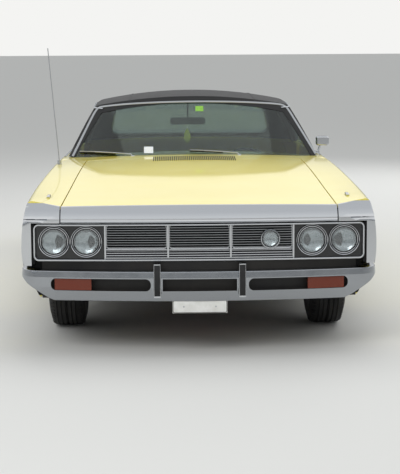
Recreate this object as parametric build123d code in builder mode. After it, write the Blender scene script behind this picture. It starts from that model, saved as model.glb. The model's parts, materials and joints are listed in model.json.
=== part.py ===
from build123d import *
import math
import os
from collections import namedtuple

# A full-size two-door hardtop car of the late 1960s, in millimetres.
# The nose points to -Y, the car's left side is +X, up is +Z.
# The origin lies on the ground under the middle of the car.

os.makedirs("parts", exist_ok=True)

# Overall sizes
car_length = 5608.0
car_width = 2014.0
wheelbase = 3099.0
front_overhang = 1000.0
front_track = 1577.0
rear_track = 1545.0
tyre_radius = 357.0
tyre_width = 215.0
panel_gap = 6.0
seat_gap = 0.3

half_width = car_width / 2
front_y = -car_length / 2
tail_y = car_length / 2
front_axle_y = front_y + front_overhang
rear_axle_y = front_axle_y + wheelbase

# Body wall thicknesses
side_wall = 28.0
top_wall = 24.0
pillar_wall = 42.0
glass_thickness = 5.0
sheet = 14.0

# Cut lines along and across the car
nose_y = front_y + 48.0
nose_bow = 60.0
lip_depth = 64.0
lip_bottom_z = 742.0
nose_bottom_z = 505.0
tail_face_y = tail_y - 62.0
tail_bow = 45.0
hood_rear_y = -1092.0
hood_front_half = 768.0
hood_rear_half = 710.0
door_front_y = -960.0
door_rear_y = 490.0
door_inner_x = 845.0
door_top_clearance = 7.0
lid_front_y = 1400.0
lid_half = 735.0
sill_top_z = 300.0
cowl_rear_y = -700.0
tray_front_y = 985.0
floor_z = 245.0
wheel_opening_radius = 395.0
rear_opening_radius = 388.0
wheel_opening_z = 345.0
bumper_room_y = -2455.0
rear_bumper_room_y = 2440.0

# Lower body sections, nose to tail. An x column with "in" is measured inwards from the half width.
# wide: the widest point; shoulder: the edge of side and top; gutter: the edge of fender and hood.
Station = namedtuple(
    "Station",
    "y bottom_z rocker_in wide_in wide_z shoulder_in shoulder_z gutter_in gutter_z crown_z",
)
body_stations = [
    Station(front_y - 30, 300, 112, 29, 600, 50, 846, 235, 806, 812),
    Station(front_y + 404, 285, 95, 12, 610, 52, 872, 247, 855, 868),
    Station(front_axle_y, 265, 87, 3, 615, 64, 905, 272, 912, 930),
    Station(hood_rear_y + 7, 245, 84, 0, 620, 98, 948, 297, 959, 986),
    Station(-300, 235, 84, 0, 625, 108, 952, 297, 962, 985),
    Station(500, 235, 84, 0, 630, 108, 955, 290, 962, 982),
    Station(rear_axle_y, 250, 88, 3, 635, 100, 952, 270, 954, 974),
    Station(rear_axle_y + 755, 280, 103, 16, 630, 106, 928, 262, 928, 946),
    Station(tail_y + 30, 310, 128, 42, 620, 120, 882, 272, 876, 888),
]
shoulder_radius = 34.0

# Roof and side window sections. base: the foot of the side glass line, below the belt.
RoofStation = namedtuple("RoofStation", "y base_in rail_in rail_z crown_z")
base_z = 860.0
roof_stations = [
    RoofStation(-1250, 104, 345, 1230, 1296),
    RoofStation(-420, 104, 325, 1296, 1368),
    RoofStation(150, 104, 318, 1312, 1385),
    RoofStation(700, 106, 326, 1298, 1368),
    RoofStation(1500, 122, 356, 1240, 1300),
]
rail_radius = 70.0
side_glass_bulge = 14.0

# Windscreen and rear window surfaces: centre line and how far the ends sweep back or forward.
screen_base = (-1068.0, 940.0)
screen_top = (-545.0, 1335.0)
screen_sweep = 320.0
rear_glass_base = (1262.0, 970.0)
rear_glass_top = (640.0, 1338.0)
rear_glass_sweep = 110.0

# Side window outline (y, z), from the foot of the windscreen pillar round to the rear pillar
side_window = [(-700.0, 940.0), (-318.0, 1272.0), (560.0, 1275.0), (742.0, 940.0)]
side_window_radius = 40.0
rear_window_outline = [(-655.0, 1000.0), (-560.0, 1312.0), (560.0, 1312.0), (655.0, 1000.0)]


def save(piece, name):
    """Labels a finished sub-part and writes it."""
    piece.part.label = name
    export_step(piece.part, f"parts/{name}.step")


def save_pair(piece, name):
    """Writes a piece of the left side and its mirror image for the right side."""
    save(piece, f"{name}_left")
    with BuildPart() as other:
        add(mirror(piece.part, about=Plane.YZ, mode=Mode.PRIVATE))
    save(other, f"{name}_right")


def lower_section(row, side_in=0.0, top_in=0.0, skirt=0.0):
    """One closed cross-section of the lower body. A skirt carries it straight down, open below."""
    half = half_width - side_in
    rocker = (half - row.rocker_in, row.bottom_z)
    wide = (half - row.wide_in, row.wide_z)
    shoulder = (half - row.shoulder_in, row.shoulder_z - top_in)
    gutter = (half_width - row.gutter_in, row.gutter_z - top_in)
    foot = (rocker[0], row.bottom_z - skirt)
    with BuildSketch(Plane.XZ.offset(-row.y)) as section:
        with BuildLine():
            if skirt:
                Line(foot, rocker)
            TangentArc(wide, rocker, tangent=(0, -1))
            TangentArc(wide, shoulder, tangent=(0, 1))
            Line(shoulder, gutter)
            mirror(about=Plane.YZ)
            ThreePointArc(gutter, (0, row.crown_z - top_in), (-gutter[0], gutter[1]))
            Line(foot, (-foot[0], foot[1]))
        make_face()
        edge_points = [
            v
            for v in section.vertices()
            if abs(v.Y - shoulder[1]) < 0.01 and abs(abs(v.X) - shoulder[0]) < 0.01
        ]
        fillet(edge_points, shoulder_radius - min(side_in, shoulder_radius * 0.4))
    return section.sketch


def roof_section(row, side_in=0.0, top_in=0.0):
    """One closed cross-section of the roof and side windows."""
    foot = (half_width - row.base_in - side_in, base_z)
    rail = (half_width - row.rail_in - side_in, row.rail_z - top_in)
    middle = ((foot[0] + rail[0]) / 2 + side_glass_bulge, (foot[1] + rail[1]) / 2)
    with BuildSketch(Plane.XZ.offset(-row.y)) as section:
        with BuildLine():
            ThreePointArc(foot, middle, rail)
            mirror(about=Plane.YZ)
            ThreePointArc(rail, (0, row.crown_z - top_in), (-rail[0], rail[1]))
            Line(foot, (-foot[0], foot[1]))
        make_face()
        rails = [v for v in section.vertices() if abs(v.Y - rail[1]) < 0.01]
        fillet(rails, rail_radius - min(top_in, rail_radius * 0.6))
    return section.sketch


def lower_loft(side_in=0.0, top_in=0.0, skirt=0.0, stretch=0.0):
    """The lower body as one solid, inset for its inner faces. Stretch makes a cutter run past both ends."""
    rows = [row._replace(y=row.y * (1 + stretch)) for row in body_stations]
    with BuildPart() as body:
        loft([lower_section(row, side_in, top_in, skirt) for row in rows])
    return body.part


def roof_loft(side_in=0.0, top_in=0.0, stretch=0.0):
    """The roof and side windows as one solid, without the slopes of the screens."""
    first, last = roof_stations[0], roof_stations[-1]
    rows = [first._replace(y=first.y - stretch)] + roof_stations[1:-1]
    rows.append(last._replace(y=last.y + stretch))
    with BuildPart() as roof:
        loft([roof_section(row, side_in, top_in) for row in rows])
    return roof.part


def bowed_wall(centre_y, bow, far_y, low_z, high_z, half=half_width + 60):
    """A block from far_y to a bowed vertical face whose middle is at centre_y."""
    with BuildPart() as block:
        with BuildSketch(Plane.XY.offset(low_z)):
            with BuildLine():
                ThreePointArc((-half, centre_y + bow), (0, centre_y), (half, centre_y + bow))
                Polyline((half, centre_y + bow), (half, far_y), (-half, far_y), (-half, centre_y + bow))
            make_face()
        extrude(amount=high_z - low_z)
    return block.part


def screen_air(base, top, sweep, far_y, shift=0.0):
    """The outside space beyond a curved screen, whose face leans from base to top and sweeps to the pillars."""
    reach = 900.0
    lean = (top[0] - base[0]) / (top[1] - base[1])
    out = -1 if far_y < base[0] else 1
    faces = []
    for level in (base[1] - 160.0, top[1] + 160.0):
        centre = base[0] + lean * (level - base[1]) - out * shift
        corner = centre - out * sweep
        with BuildSketch(Plane.XY.offset(level)) as face:
            with BuildLine():
                ThreePointArc((-reach, corner), (0, centre), (reach, corner))
                Polyline((reach, corner), (reach, far_y), (-reach, far_y), (-reach, corner))
            make_face()
        faces.append(face.sketch)
    with BuildPart() as air:
        loft(faces, ruled=True)
    return air.part


def plan_prism(points, low_z, high_z):
    """A vertical prism on a plan outline."""
    with BuildPart() as prism:
        with BuildSketch(Plane.XY.offset(low_z)):
            with BuildLine():
                Polyline(points, close=True)
            make_face()
        extrude(amount=high_z - low_z)
    return prism.part


def side_prism(points, low_x, high_x, radius=0.0):
    """A prism across the car on a side-view outline of (y, z) points, with its corners rounded."""
    with BuildPart() as prism:
        with BuildSketch(Plane.YZ.offset(low_x)) as outline:
            with BuildLine():
                Polyline(points, close=True)
            make_face()
            if radius:
                fillet(outline.vertices(), radius)
        extrude(amount=high_x - low_x)
    return prism.part


def block(low, high):
    """A box between two corners."""
    size = [h - l for l, h in zip(low, high)]
    middle = [(h + l) / 2 for l, h in zip(low, high)]
    return Pos(*middle) * Box(*size, mode=Mode.PRIVATE)


def front_prism(points, low_y, high_y, radius=0.0):
    """A prism along the car on a front-view outline of (x, z) points, with its corners rounded."""
    with BuildPart() as prism:
        with BuildSketch(Plane.XZ.offset(-high_y)) as outline:
            with BuildLine():
                Polyline(points, close=True)
            make_face()
            if radius:
                fillet(outline.vertices(), radius)
        extrude(amount=high_y - low_y)
    return prism.part


nose_half = half_width + 60.0
nose_radius = (nose_half**2 + nose_bow**2) / (2 * nose_bow)
nose_axis = Axis((0, nose_y + nose_radius, 0), (0, 0, 1))
nose_angle = math.degrees(math.asin(nose_half / nose_radius))


def nose_band(points, round_points=None):
    """A band that follows the bowed nose, on a (y, z) profile at the centre line."""
    with BuildPart() as band:
        with BuildSketch(Plane.YZ):
            with BuildLine():
                if round_points:
                    Polyline(round_points[2], *points, round_points[0])
                    ThreePointArc(*round_points)
                else:
                    Polyline(points, close=True)
            make_face()
        revolve(axis=nose_axis, revolution_arc=nose_angle)
        mirror(about=Plane.YZ)
    return band.part


# The solids that all panels are cut from
body_outer = lower_loft()
body_inner = lower_loft(side_wall, top_wall, skirt=150, stretch=0.01)
body_inner_fit = lower_loft(side_wall + seat_gap, top_wall + seat_gap, skirt=150, stretch=0.01)
skin = body_outer - body_inner
screen_outside = screen_air(screen_base, screen_top, screen_sweep, -2400)
rear_outside = screen_air(rear_glass_base, rear_glass_top, rear_glass_sweep, 2400)
roof_solid = roof_loft() - screen_outside - rear_outside

# The nose: lip_back is where painted panels begin behind the bright lip
lip_back_y = nose_y + lip_depth
lip_arc = ((nose_y, 765), (nose_y + 20, 801), (lip_back_y - 2, 848))
nose_profile = [(lip_back_y, 848), (lip_back_y, nose_bottom_z), (nose_y, nose_bottom_z)]
nose_full = nose_band([(nose_y - 200, 100), (nose_y - 200, 1100), (lip_back_y + seat_gap, 1100),
                       (lip_back_y + seat_gap, 100)])
nose_solid = body_outer & nose_band(nose_profile, lip_arc)
tail_outside = bowed_wall(tail_face_y, -tail_bow, tail_y + 300, 100, 1100)


def hood_plan(offset=0.0):
    """The hood opening in plan, widened by an offset on each side."""
    front = nose_y - 150
    spread = (hood_front_half - hood_rear_half) / (hood_rear_y - nose_y)
    front_half = hood_front_half + spread * (nose_y - front) + offset
    rear_half = hood_rear_half + offset
    return [(-front_half, front), (front_half, front), (rear_half, hood_rear_y), (-rear_half, hood_rear_y)]


# Hood
with BuildPart() as hood:
    add(plan_prism(hood_plan(-panel_gap / 2), 650, 1100) & skin)
    add(nose_full, mode=Mode.SUBTRACT)
save(hood, "hood")


# Bright lip on the hood's front edge, with a groove along its face
groove = nose_band([(nose_y - 20, 759), (nose_y + 5, 759), (nose_y + 5, 766), (nose_y - 20, 766)])
with BuildPart() as hood_lip:
    add(nose_solid & block((-hood_front_half + 3, nose_y - 100, lip_bottom_z), (hood_front_half - 3, -2600, 1000)))
    add(groove, mode=Mode.SUBTRACT)
save(hood_lip, "hood_lip")

# Bright caps on the noses of the fenders, down the outer sides to the bumper
cap_inner_x = 930.0
with BuildPart() as fender_caps:
    for side in (-1, 1):
        low, high = sorted((side * (hood_front_half + 3), side * 1100))
        add(nose_solid & block((low, nose_y - 100, nose_bottom_z), (high, -2600, 1000)))
    add(block((-cap_inner_x, nose_y - 100, 100), (cap_inner_x, -2600, lip_bottom_z)), mode=Mode.SUBTRACT)
    add(groove, mode=Mode.SUBTRACT)
save(fender_caps, "fender_caps")


def wheel_opening(axle_y, radius, side):
    """The space of one wheel opening, out through the side skin."""
    with BuildPart() as opening:
        with BuildSketch(Plane.YZ.offset(side * 700)):
            with Locations((axle_y, wheel_opening_z)):
                Circle(radius)
            with Locations((axle_y, wheel_opening_z - 200)):
                Rectangle(2 * radius, 400)
        extrude(amount=side * 400)
    return opening.part


# Fenders: from the nose to the door, with the wheel opening and the cut-away behind the bumper
with BuildPart() as fender:
    add(skin & block((hood_rear_half + seat_gap, -2900, 240), (1100, door_front_y - 3, 1100)))
    add(nose_full, mode=Mode.SUBTRACT)
    add(plan_prism(hood_plan(panel_gap / 2), 600, 1100), mode=Mode.SUBTRACT)
    add(wheel_opening(front_axle_y, wheel_opening_radius, 1), mode=Mode.SUBTRACT)
    add(block((0, -2900, 100), (1100, bumper_room_y, 515)), mode=Mode.SUBTRACT)
    add(block((0, -2900, 100), (900, door_front_y, 700)), mode=Mode.SUBTRACT)
save_pair(fender, "fender")

# Cowl: the top between hood and windscreen, the firewall, and the posts that carry the door hinges
firewall_y = -1060.0
post_front_y = door_front_y - 48.0
with BuildPart() as cowl:
    add(skin & block((-hood_rear_half, hood_rear_y + panel_gap, 900), (hood_rear_half, cowl_rear_y, 1100)))
    for side in (-1, 1):
        low, high = sorted((side * (hood_rear_half - 5), side * (door_inner_x - seat_gap)))
        add(skin & block((low, door_front_y - 3 + seat_gap, 900), (high, cowl_rear_y, 1100)))
        low, high = sorted((side * 790, side * 1100))
        add(body_inner_fit & block((low, post_front_y, floor_z), (high, door_front_y - 3.3, 990)))
        low, high = sorted((side * 800, side * (door_inner_x - seat_gap)))
        add(body_inner_fit & block((low, door_front_y - 4, sill_top_z), (high, cowl_rear_y, 990)))
    add(body_inner_fit & block((-1100, firewall_y, 420), (1100, firewall_y + sheet, 990)))
    add(body_inner_fit & block((-1100, firewall_y, floor_z), (-150, firewall_y + sheet, 430)))
    add(body_inner_fit & block((150, firewall_y, floor_z), (1100, firewall_y + sheet, 430)))
save(cowl, "cowl")

# Bay panels: the aprons beside the engine, the wheelhouse covers and the radiator with its support
apron_x = 472.0
rail_top_front_z = 385.0
support_y = -2590.0
wheelhouse_radius = 428.0
with BuildPart() as bay_panels:
    for side in (-1, 1):
        low, high = sorted((side * apron_x, side * (apron_x + sheet)))
        add(body_inner_fit & block((low, support_y, rail_top_front_z + seat_gap), (high, firewall_y - seat_gap, 790)))
        add(block((low, front_axle_y - 115, 470), (high, front_axle_y + 115, 520)), mode=Mode.SUBTRACT)
        low, high = sorted((side * (apron_x + sheet), side * 1100))
        cover = body_inner_fit & block((low, front_axle_y - 440, 360), (high, front_axle_y + 440, 830))
        with BuildPart(mode=Mode.PRIVATE) as wheelhouse:
            with BuildSketch(Plane.YZ.offset(low)):
                with Locations((front_axle_y, wheel_opening_z)):
                    Circle(wheelhouse_radius + sheet)
                    Circle(wheelhouse_radius, mode=Mode.SUBTRACT)
            extrude(amount=high - low)
        add(cover & wheelhouse.part)
    add(body_inner_fit & block((-900, support_y - sheet, 330), (900, support_y, 785)))
    for low, high in ((-575, -550), (550, 575)):
        add(body_inner_fit & block((low, support_y - sheet, 780), (high, support_y, 900)))
    add(block((-380, support_y - 40, 380), (380, support_y + 5, 760)))
    add(block((-340, support_y - 60, 410), (340, support_y + 60, 730)), mode=Mode.SUBTRACT)
    add(block((-350, support_y - 22, 400), (350, support_y - 2, 740)))
save(bay_panels, "bay_panels")

# Floor: pan with its tunnel, seat step, trunk floor, wheel tubs and sills
step_y = 720.0
floor_half = 780.0
tub_inner_x = 612.0
tub_radius = 405.0
tunnel_height = 170.0
pan = [(firewall_y + sheet + seat_gap, floor_z), (step_y, floor_z), (step_y + 110, 400), (980, 548), (1610, 548),
       (1740, 390), (2690, 390)]
with BuildPart() as floor:
    add(side_prism(pan + [(y, z + sheet) for y, z in pan][::-1], -floor_half, floor_half))
    add(front_prism([(-150, floor_z - 50), (-105, floor_z + tunnel_height), (105, floor_z + tunnel_height),
                     (150, floor_z - 50)], pan[0][0], step_y + 100, 0))
    add(front_prism([(-150 + sheet, floor_z - 60), (-105 + sheet, floor_z + tunnel_height - sheet),
                     (105 - sheet, floor_z + tunnel_height - sheet), (150 - sheet, floor_z - 60)],
                    pan[0][0] - 10, step_y + 140, 0), mode=Mode.SUBTRACT)
    add(block((-200, -1100, 100), (200, step_y, floor_z)), mode=Mode.SUBTRACT)
    for side in (-1, 1):
        low, high = sorted((side * floor_half, side * 1100))
        add(body_outer & block((low, door_front_y + 3, 200), (high, door_rear_y - 3, sill_top_z - 3)))
        low, high = sorted((side * (tub_inner_x + sheet), side * 1100))
        with BuildPart(mode=Mode.PRIVATE) as wheel_space:
            with BuildSketch(Plane.YZ.offset(low)):
                with Locations((rear_axle_y, wheel_opening_z)):
                    Circle(tub_radius)
                with Locations((rear_axle_y, wheel_opening_z - 300)):
                    Rectangle(2 * tub_radius, 600)
            extrude(amount=high - low)
        low, high = sorted((side * tub_inner_x, side * 1000))
        with BuildPart(mode=Mode.PRIVATE) as tub_block:
            with BuildSketch(Plane.YZ.offset(low)):
                with Locations((rear_axle_y, wheel_opening_z)):
                    Circle(tub_radius + sheet)
            extrude(amount=high - low)
        add(tub_block.part & body_inner_fit & block((-1100, 500, 340), (1100, 2100, 900)))
        add(wheel_space.part, mode=Mode.SUBTRACT)
        low, high = sorted((side * (tub_inner_x - 5), side * (tub_inner_x + sheet + 5)))
        add(block((low, rear_axle_y - 75, 300), (high, rear_axle_y + 75, 470)), mode=Mode.SUBTRACT)
save(floor, "floor")

# Quarters: from the door to the tail, with the wheel opening and half of the rear shelf
with BuildPart() as quarter:
    add(skin & block((seat_gap / 2, door_rear_y + 3, 240), (1100, 2900, 1100)))
    add(block((-10, 0, 100), (tub_inner_x + 200, 2900, 800)), mode=Mode.SUBTRACT)
    add(block((-10, 0, 700), (door_inner_x - 20, tray_front_y, 1100)), mode=Mode.SUBTRACT)
    add(body_inner & block((door_inner_x - 20, door_rear_y + 3, sill_top_z), (1100, door_rear_y + 45, 960)))
    add(wheel_opening(rear_axle_y, rear_opening_radius, 1), mode=Mode.SUBTRACT)
    add(block((-10, lid_front_y - 3, 700), (lid_half + 3, 2900, 1100)), mode=Mode.SUBTRACT)
    add(block((0, rear_bumper_room_y, 100), (1100, 2900, 575)), mode=Mode.SUBTRACT)
    add(tail_outside, mode=Mode.SUBTRACT)
save_pair(quarter, "quarter")

# Trunk lid
lid_plan = [(-lid_half, lid_front_y), (lid_half, lid_front_y), (lid_half, 2900), (-lid_half, 2900)]
with BuildPart() as trunk_lid:
    add(skin & plan_prism(lid_plan, 800, 1100))
    add(tail_outside, mode=Mode.SUBTRACT)
save(trunk_lid, "trunk_lid")

# Tail panel: closes the body between lid, bumper and quarters
tail_slab = bowed_wall(tail_face_y - 26, -tail_bow, tail_y + 300, 100, 1100)
with BuildPart() as tail_panel:
    add(body_inner_fit & tail_slab)
    add(tail_outside, mode=Mode.SUBTRACT)
    add(block((-1100, 2000, 0), (1100, 2900, 380)), mode=Mode.SUBTRACT)
    for low, high in ((-1100, -850), (850, 1100)):
        add(block((low, 2000, 300), (high, 2900, 575)), mode=Mode.SUBTRACT)
    with Locations((-89, tail_face_y, 700), (89, tail_face_y, 700)):
        Cylinder(3.5, 120, rotation=(90, 0, 0), mode=Mode.SUBTRACT)
save(tail_panel, "tail_panel")

# Roof: the shell over the cabin down to the belt, with its pillars
cabin_space = roof_loft(pillar_wall, pillar_wall, stretch=30)
cabin_space -= screen_air(rear_glass_base, rear_glass_top, rear_glass_sweep, 2400, shift=45)
door_top_space = body_outer.moved(Location((0, 0, door_top_clearance)))
with BuildPart() as roof:
    add(roof_solid)
    add(cabin_space, mode=Mode.SUBTRACT)
    add(side_prism(side_window, -1200, 1200), mode=Mode.SUBTRACT)
    add(front_prism(rear_window_outline, 400, 1500, 45), mode=Mode.SUBTRACT)
    add(body_outer, mode=Mode.SUBTRACT)
    for side in (-1, 1):
        low, high = sorted((side * (door_inner_x - 4), side * 1100))
        door_zone = block((low, door_front_y - 3, 900), (high, door_rear_y + 3, 1000))
        add(door_top_space & door_zone, mode=Mode.SUBTRACT)
save(roof, "roof")

# Windscreen and rear window
screen_set = 3.0
screen_slab = screen_air(screen_base, screen_top, screen_sweep, -2400, screen_set + glass_thickness)
screen_slab -= screen_air(screen_base, screen_top, screen_sweep, -2400, screen_set)
with BuildPart() as windscreen:
    add(roof_loft(pillar_wall + seat_gap, pillar_wall + seat_gap, stretch=30) & screen_slab)
    add(body_outer.moved(Location((0, 0, seat_gap))), mode=Mode.SUBTRACT)
save(windscreen, "windscreen")
rear_slab = screen_air(rear_glass_base, rear_glass_top, rear_glass_sweep, 2400, 6 + glass_thickness)
rear_slab -= screen_air(rear_glass_base, rear_glass_top, rear_glass_sweep, 2400, 6)
rear_outline_fit = [(x - math.copysign(seat_gap, x), z) for x, z in rear_window_outline]
with BuildPart() as rear_window:
    add(rear_slab & front_prism(rear_outline_fit, 400, 1500, 45))
save(rear_window, "rear_window")

# Side glass: a curved sheet split between door and quarter
glass_set = 12.0
glass_split_y = door_rear_y - 20
glass_outline = side_prism(side_window, -1200, 1200)
glass_outside = roof_loft(glass_set, glass_set, stretch=10)
glass_inside = roof_loft(glass_set + glass_thickness, glass_set + glass_thickness, stretch=40)
slot_outside = roof_loft(glass_set - seat_gap, glass_set - seat_gap, stretch=10)
slot_inside = roof_loft(glass_set + glass_thickness + seat_gap, glass_set + glass_thickness + seat_gap, stretch=40)
with BuildPart() as door_glass:
    add(block((500, -900, 900), (1100, glass_split_y - 3, 1268)) & glass_outline & glass_outside)
    add(glass_inside, mode=Mode.SUBTRACT)
save_pair(door_glass, "door_glass")
with BuildPart() as quarter_glass:
    for side in (-1, 1):
        low, high = sorted((side * 500, side * 1100))
        add(block((low, glass_split_y + 3, 900), (high, 1200, 1300)) & glass_outline & glass_outside)
    add(glass_inside, mode=Mode.SUBTRACT)
    add(body_outer.moved(Location((0, 0, seat_gap))), mode=Mode.SUBTRACT)
save(quarter_glass, "quarter_glass")

# Doors: each as thick as the whole door, with a slot for the glass and a rear face that clears its swing
door_rear_slant = 18.0
with BuildPart() as door:
    add(body_outer & block((door_inner_x, door_front_y + 3, sill_top_z + 3), (1100, door_rear_y - 3, 1100)))
    add(plan_prism([(door_inner_x - 10, door_rear_y - 3 - door_rear_slant), (half_width, door_rear_y - 3),
                    (half_width, door_rear_y + 60), (door_inner_x - 10, door_rear_y + 60)], 200, 1100),
        mode=Mode.SUBTRACT)
    slot = block((500, side_window[0][0] - 40, 880), (1100, glass_split_y, 1100)) & slot_outside
    add(slot - slot_inside, mode=Mode.SUBTRACT)
save_pair(door, "door")


def lamp_ring(x, z, y, outer, inner, depth):
    """A round lamp surround, bevelled at its front edge, with its face at y."""
    with BuildPart() as ring:
        with BuildSketch(Plane.XZ.offset(-y - depth)):
            with Locations((x, z)):
                Circle(outer)
                Circle(inner, mode=Mode.SUBTRACT)
        extrude(amount=depth)
        front_edges = ring.faces().sort_by(Axis.Y)[0].edges()
        chamfer(front_edges, min(4.0, (outer - inner) * 0.3))
    return ring.part


# Grille: frame, dividers, slats and the sill below them, all bowed with the nose
grille_half = 920.0
grille_low_z = 529.0
grille_high_z = 735.0
grille_face_y = nose_y + 14.0
grille_depth = 52.0
slat_area_low_z = 601.0
slat_pitch = 13.6
slat_thickness = 5.0
slat_count = 9
sill_slat_pitch = 13.5
sill_slat_count = 4
divider_x = (173.5, 521.0)
Lamp = namedtuple("Lamp", "x z")
head_lamps = [Lamp(626, 637), Lamp(805, 637)]
lamp_ring_outer = 87.5
lamp_lens_radius = 69.0
lamp_face_set = 20.0
grille_lamp = Lamp(392, 649)
grille_lamp_outer = 54.0
grille_lamp_lens = 44.0


def nose_at(x):
    """How far the bowed nose lies behind its middle at this distance from the centre line."""
    return nose_radius - math.sqrt(nose_radius**2 - x**2)


def bar_across(low_z, high_z, face, depth, half):
    """A bowed bar across the nose, cut off at half on each side."""
    bar = nose_band([(face, low_z), (face, high_z), (face + depth, high_z), (face + depth, low_z)])
    return bar & block((-half, nose_y - 200, 0), (half, nose_y + 300, 1200))


frame_outside = front_prism([(-grille_half, grille_low_z), (-grille_half, grille_high_z),
                             (grille_half, grille_high_z), (grille_half, grille_low_z)], nose_y - 50, nose_y + 250, 25)
frame_inside = front_prism([(-grille_half + 9, grille_low_z + 9), (-grille_half + 9, grille_high_z - 9),
                            (grille_half - 9, grille_high_z - 9), (grille_half - 9, grille_low_z + 9)],
                           nose_y - 50, nose_y + 250, 18)
with BuildPart() as grille:
    deep = nose_band([(grille_face_y, 400), (grille_face_y, 900), (grille_face_y + grille_depth, 900),
                      (grille_face_y + grille_depth, 400)])
    add((deep & frame_outside) - frame_inside)
    back = nose_band([(grille_face_y + grille_depth - 8, 400), (grille_face_y + grille_depth - 8, 900),
                      (grille_face_y + grille_depth, 900), (grille_face_y + grille_depth, 400)])
    add(back & frame_outside)
    for side in (-1, 1):
        for x in divider_x:
            low = (side * x - 5, nose_y, grille_low_z + 4)
            high = (side * x + 5, nose_y + 200, grille_high_z - 4)
            add(deep & block(low, high))
        low, high = sorted((side * divider_x[1], side * (grille_half - 5)))
        panel = nose_band([(grille_face_y + 24, 400), (grille_face_y + 24, 900), (grille_face_y + grille_depth, 900),
                           (grille_face_y + grille_depth, 400)])
        add(panel & block((low, nose_y, grille_low_z + 4), (high, nose_y + 200, grille_high_z - 4)))
    for i in range(slat_count):
        low = slat_area_low_z + i * slat_pitch
        add(bar_across(low, low + slat_thickness, grille_face_y + 10, grille_depth - 12, divider_x[1]))
    add(bar_across(585, 592, grille_face_y + 6, grille_depth - 8, divider_x[1]))
    for i in range(sill_slat_count):
        low = grille_low_z + 10 + i * sill_slat_pitch
        add(bar_across(low, low + 4, grille_face_y + 4 + i * 6, grille_depth - 6 - i * 6, divider_x[1]))
save(grille, "grille")

# Lamps in the nose: a ring of two ridges round each headlamp, and one small lamp among the slats
panel_face_y = grille_face_y + 24


def lamp_face(lamp):
    """Where a lamp's ring has its front, on the bowed nose."""
    return nose_y + lamp_face_set + nose_at(lamp.x)


def lens(x, z, y_back, y_front, radius, dome):
    """A domed lens about an axis along the car."""
    with BuildPart() as glass:
        with BuildSketch(Plane.XY):
            with BuildLine():
                Polyline((-radius, y_front), (-radius, y_back), (radius, y_back), (radius, y_front))
                ThreePointArc((radius, y_front), (0, y_front - dome), (-radius, y_front))
            make_face()
            split(bisect_by=Plane.YZ)
        revolve(axis=Axis.Y)
    return glass.part.moved(Location((x, 0, z)))


rings = []
lenses = []
for side in (-1, 1):
    for lamp in head_lamps:
        face = lamp_face(lamp)
        back = panel_face_y + nose_at(lamp.x - lamp_ring_outer) - seat_gap
        x = side * lamp.x
        rings.append(lamp_ring(x, lamp.z, face, lamp_ring_outer, 79, back - face)
                     + lamp_ring(x, lamp.z, face + 1, 76, lamp_lens_radius, back - face - 1)
                     + lamp_ring(x, lamp.z, face + 5, 80, 75, back - face - 5))
        lenses.append(lens(x, lamp.z, back, face + 5, lamp_lens_radius - seat_gap, 12))
slat_front_y = grille_face_y + 10
face = slat_front_y + nose_at(grille_lamp.x - grille_lamp_outer) - seat_gap - 20
rings.append(lamp_ring(grille_lamp.x, grille_lamp.z, face, grille_lamp_outer, grille_lamp_lens, 20))
lenses.append(lens(grille_lamp.x, grille_lamp.z, face + 20, face + 5, grille_lamp_lens - seat_gap, 8))
with BuildPart() as lamp_rings:
    add(rings)
save(lamp_rings, "lamp_rings")
with BuildPart() as lamp_lenses:
    add(lenses)
save(lamp_lenses, "lamp_lenses")


def bumper_half(face_y, direction, profile, centre_radius, centre_half, corner_radius, side_run, wall):
    """One half of a bumper: an open channel swept along the front, round the corner and along the side."""
    turn = math.degrees(math.asin(centre_half / centre_radius))
    with BuildPart() as half:
        with BuildLine() as path:
            middle = JernArc((0, face_y), (1, 0), centre_radius, turn * -direction)
            corner = JernArc(middle @ 1, middle % 1, corner_radius, (90 - turn) * -direction)
            Line(corner @ 1, (corner @ 1) + Vector(0, -direction * side_run))
        outer_line = [(face_y - direction * depth, z) for depth, z in profile]
        with BuildSketch(Plane.YZ):
            with BuildLine():
                FilletPolyline(*outer_line, radius=5)
                offset(amount=wall, side=Side.LEFT if direction < 0 else Side.RIGHT)
            make_face()
        sweep(path=path.wires()[0])
    return half.part


def arc_band(points, centre_y, angle):
    """A band revolved about an upright axis in the middle plane, on a (y, z) profile at the centre line."""
    with BuildPart() as band:
        with BuildSketch(Plane.YZ):
            with BuildLine():
                Polyline(points, close=True)
            make_face()
        revolve(axis=Axis((0, centre_y, 0), (0, 0, 1)), revolution_arc=angle)
        mirror(about=Plane.YZ)
    return band.part


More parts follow.
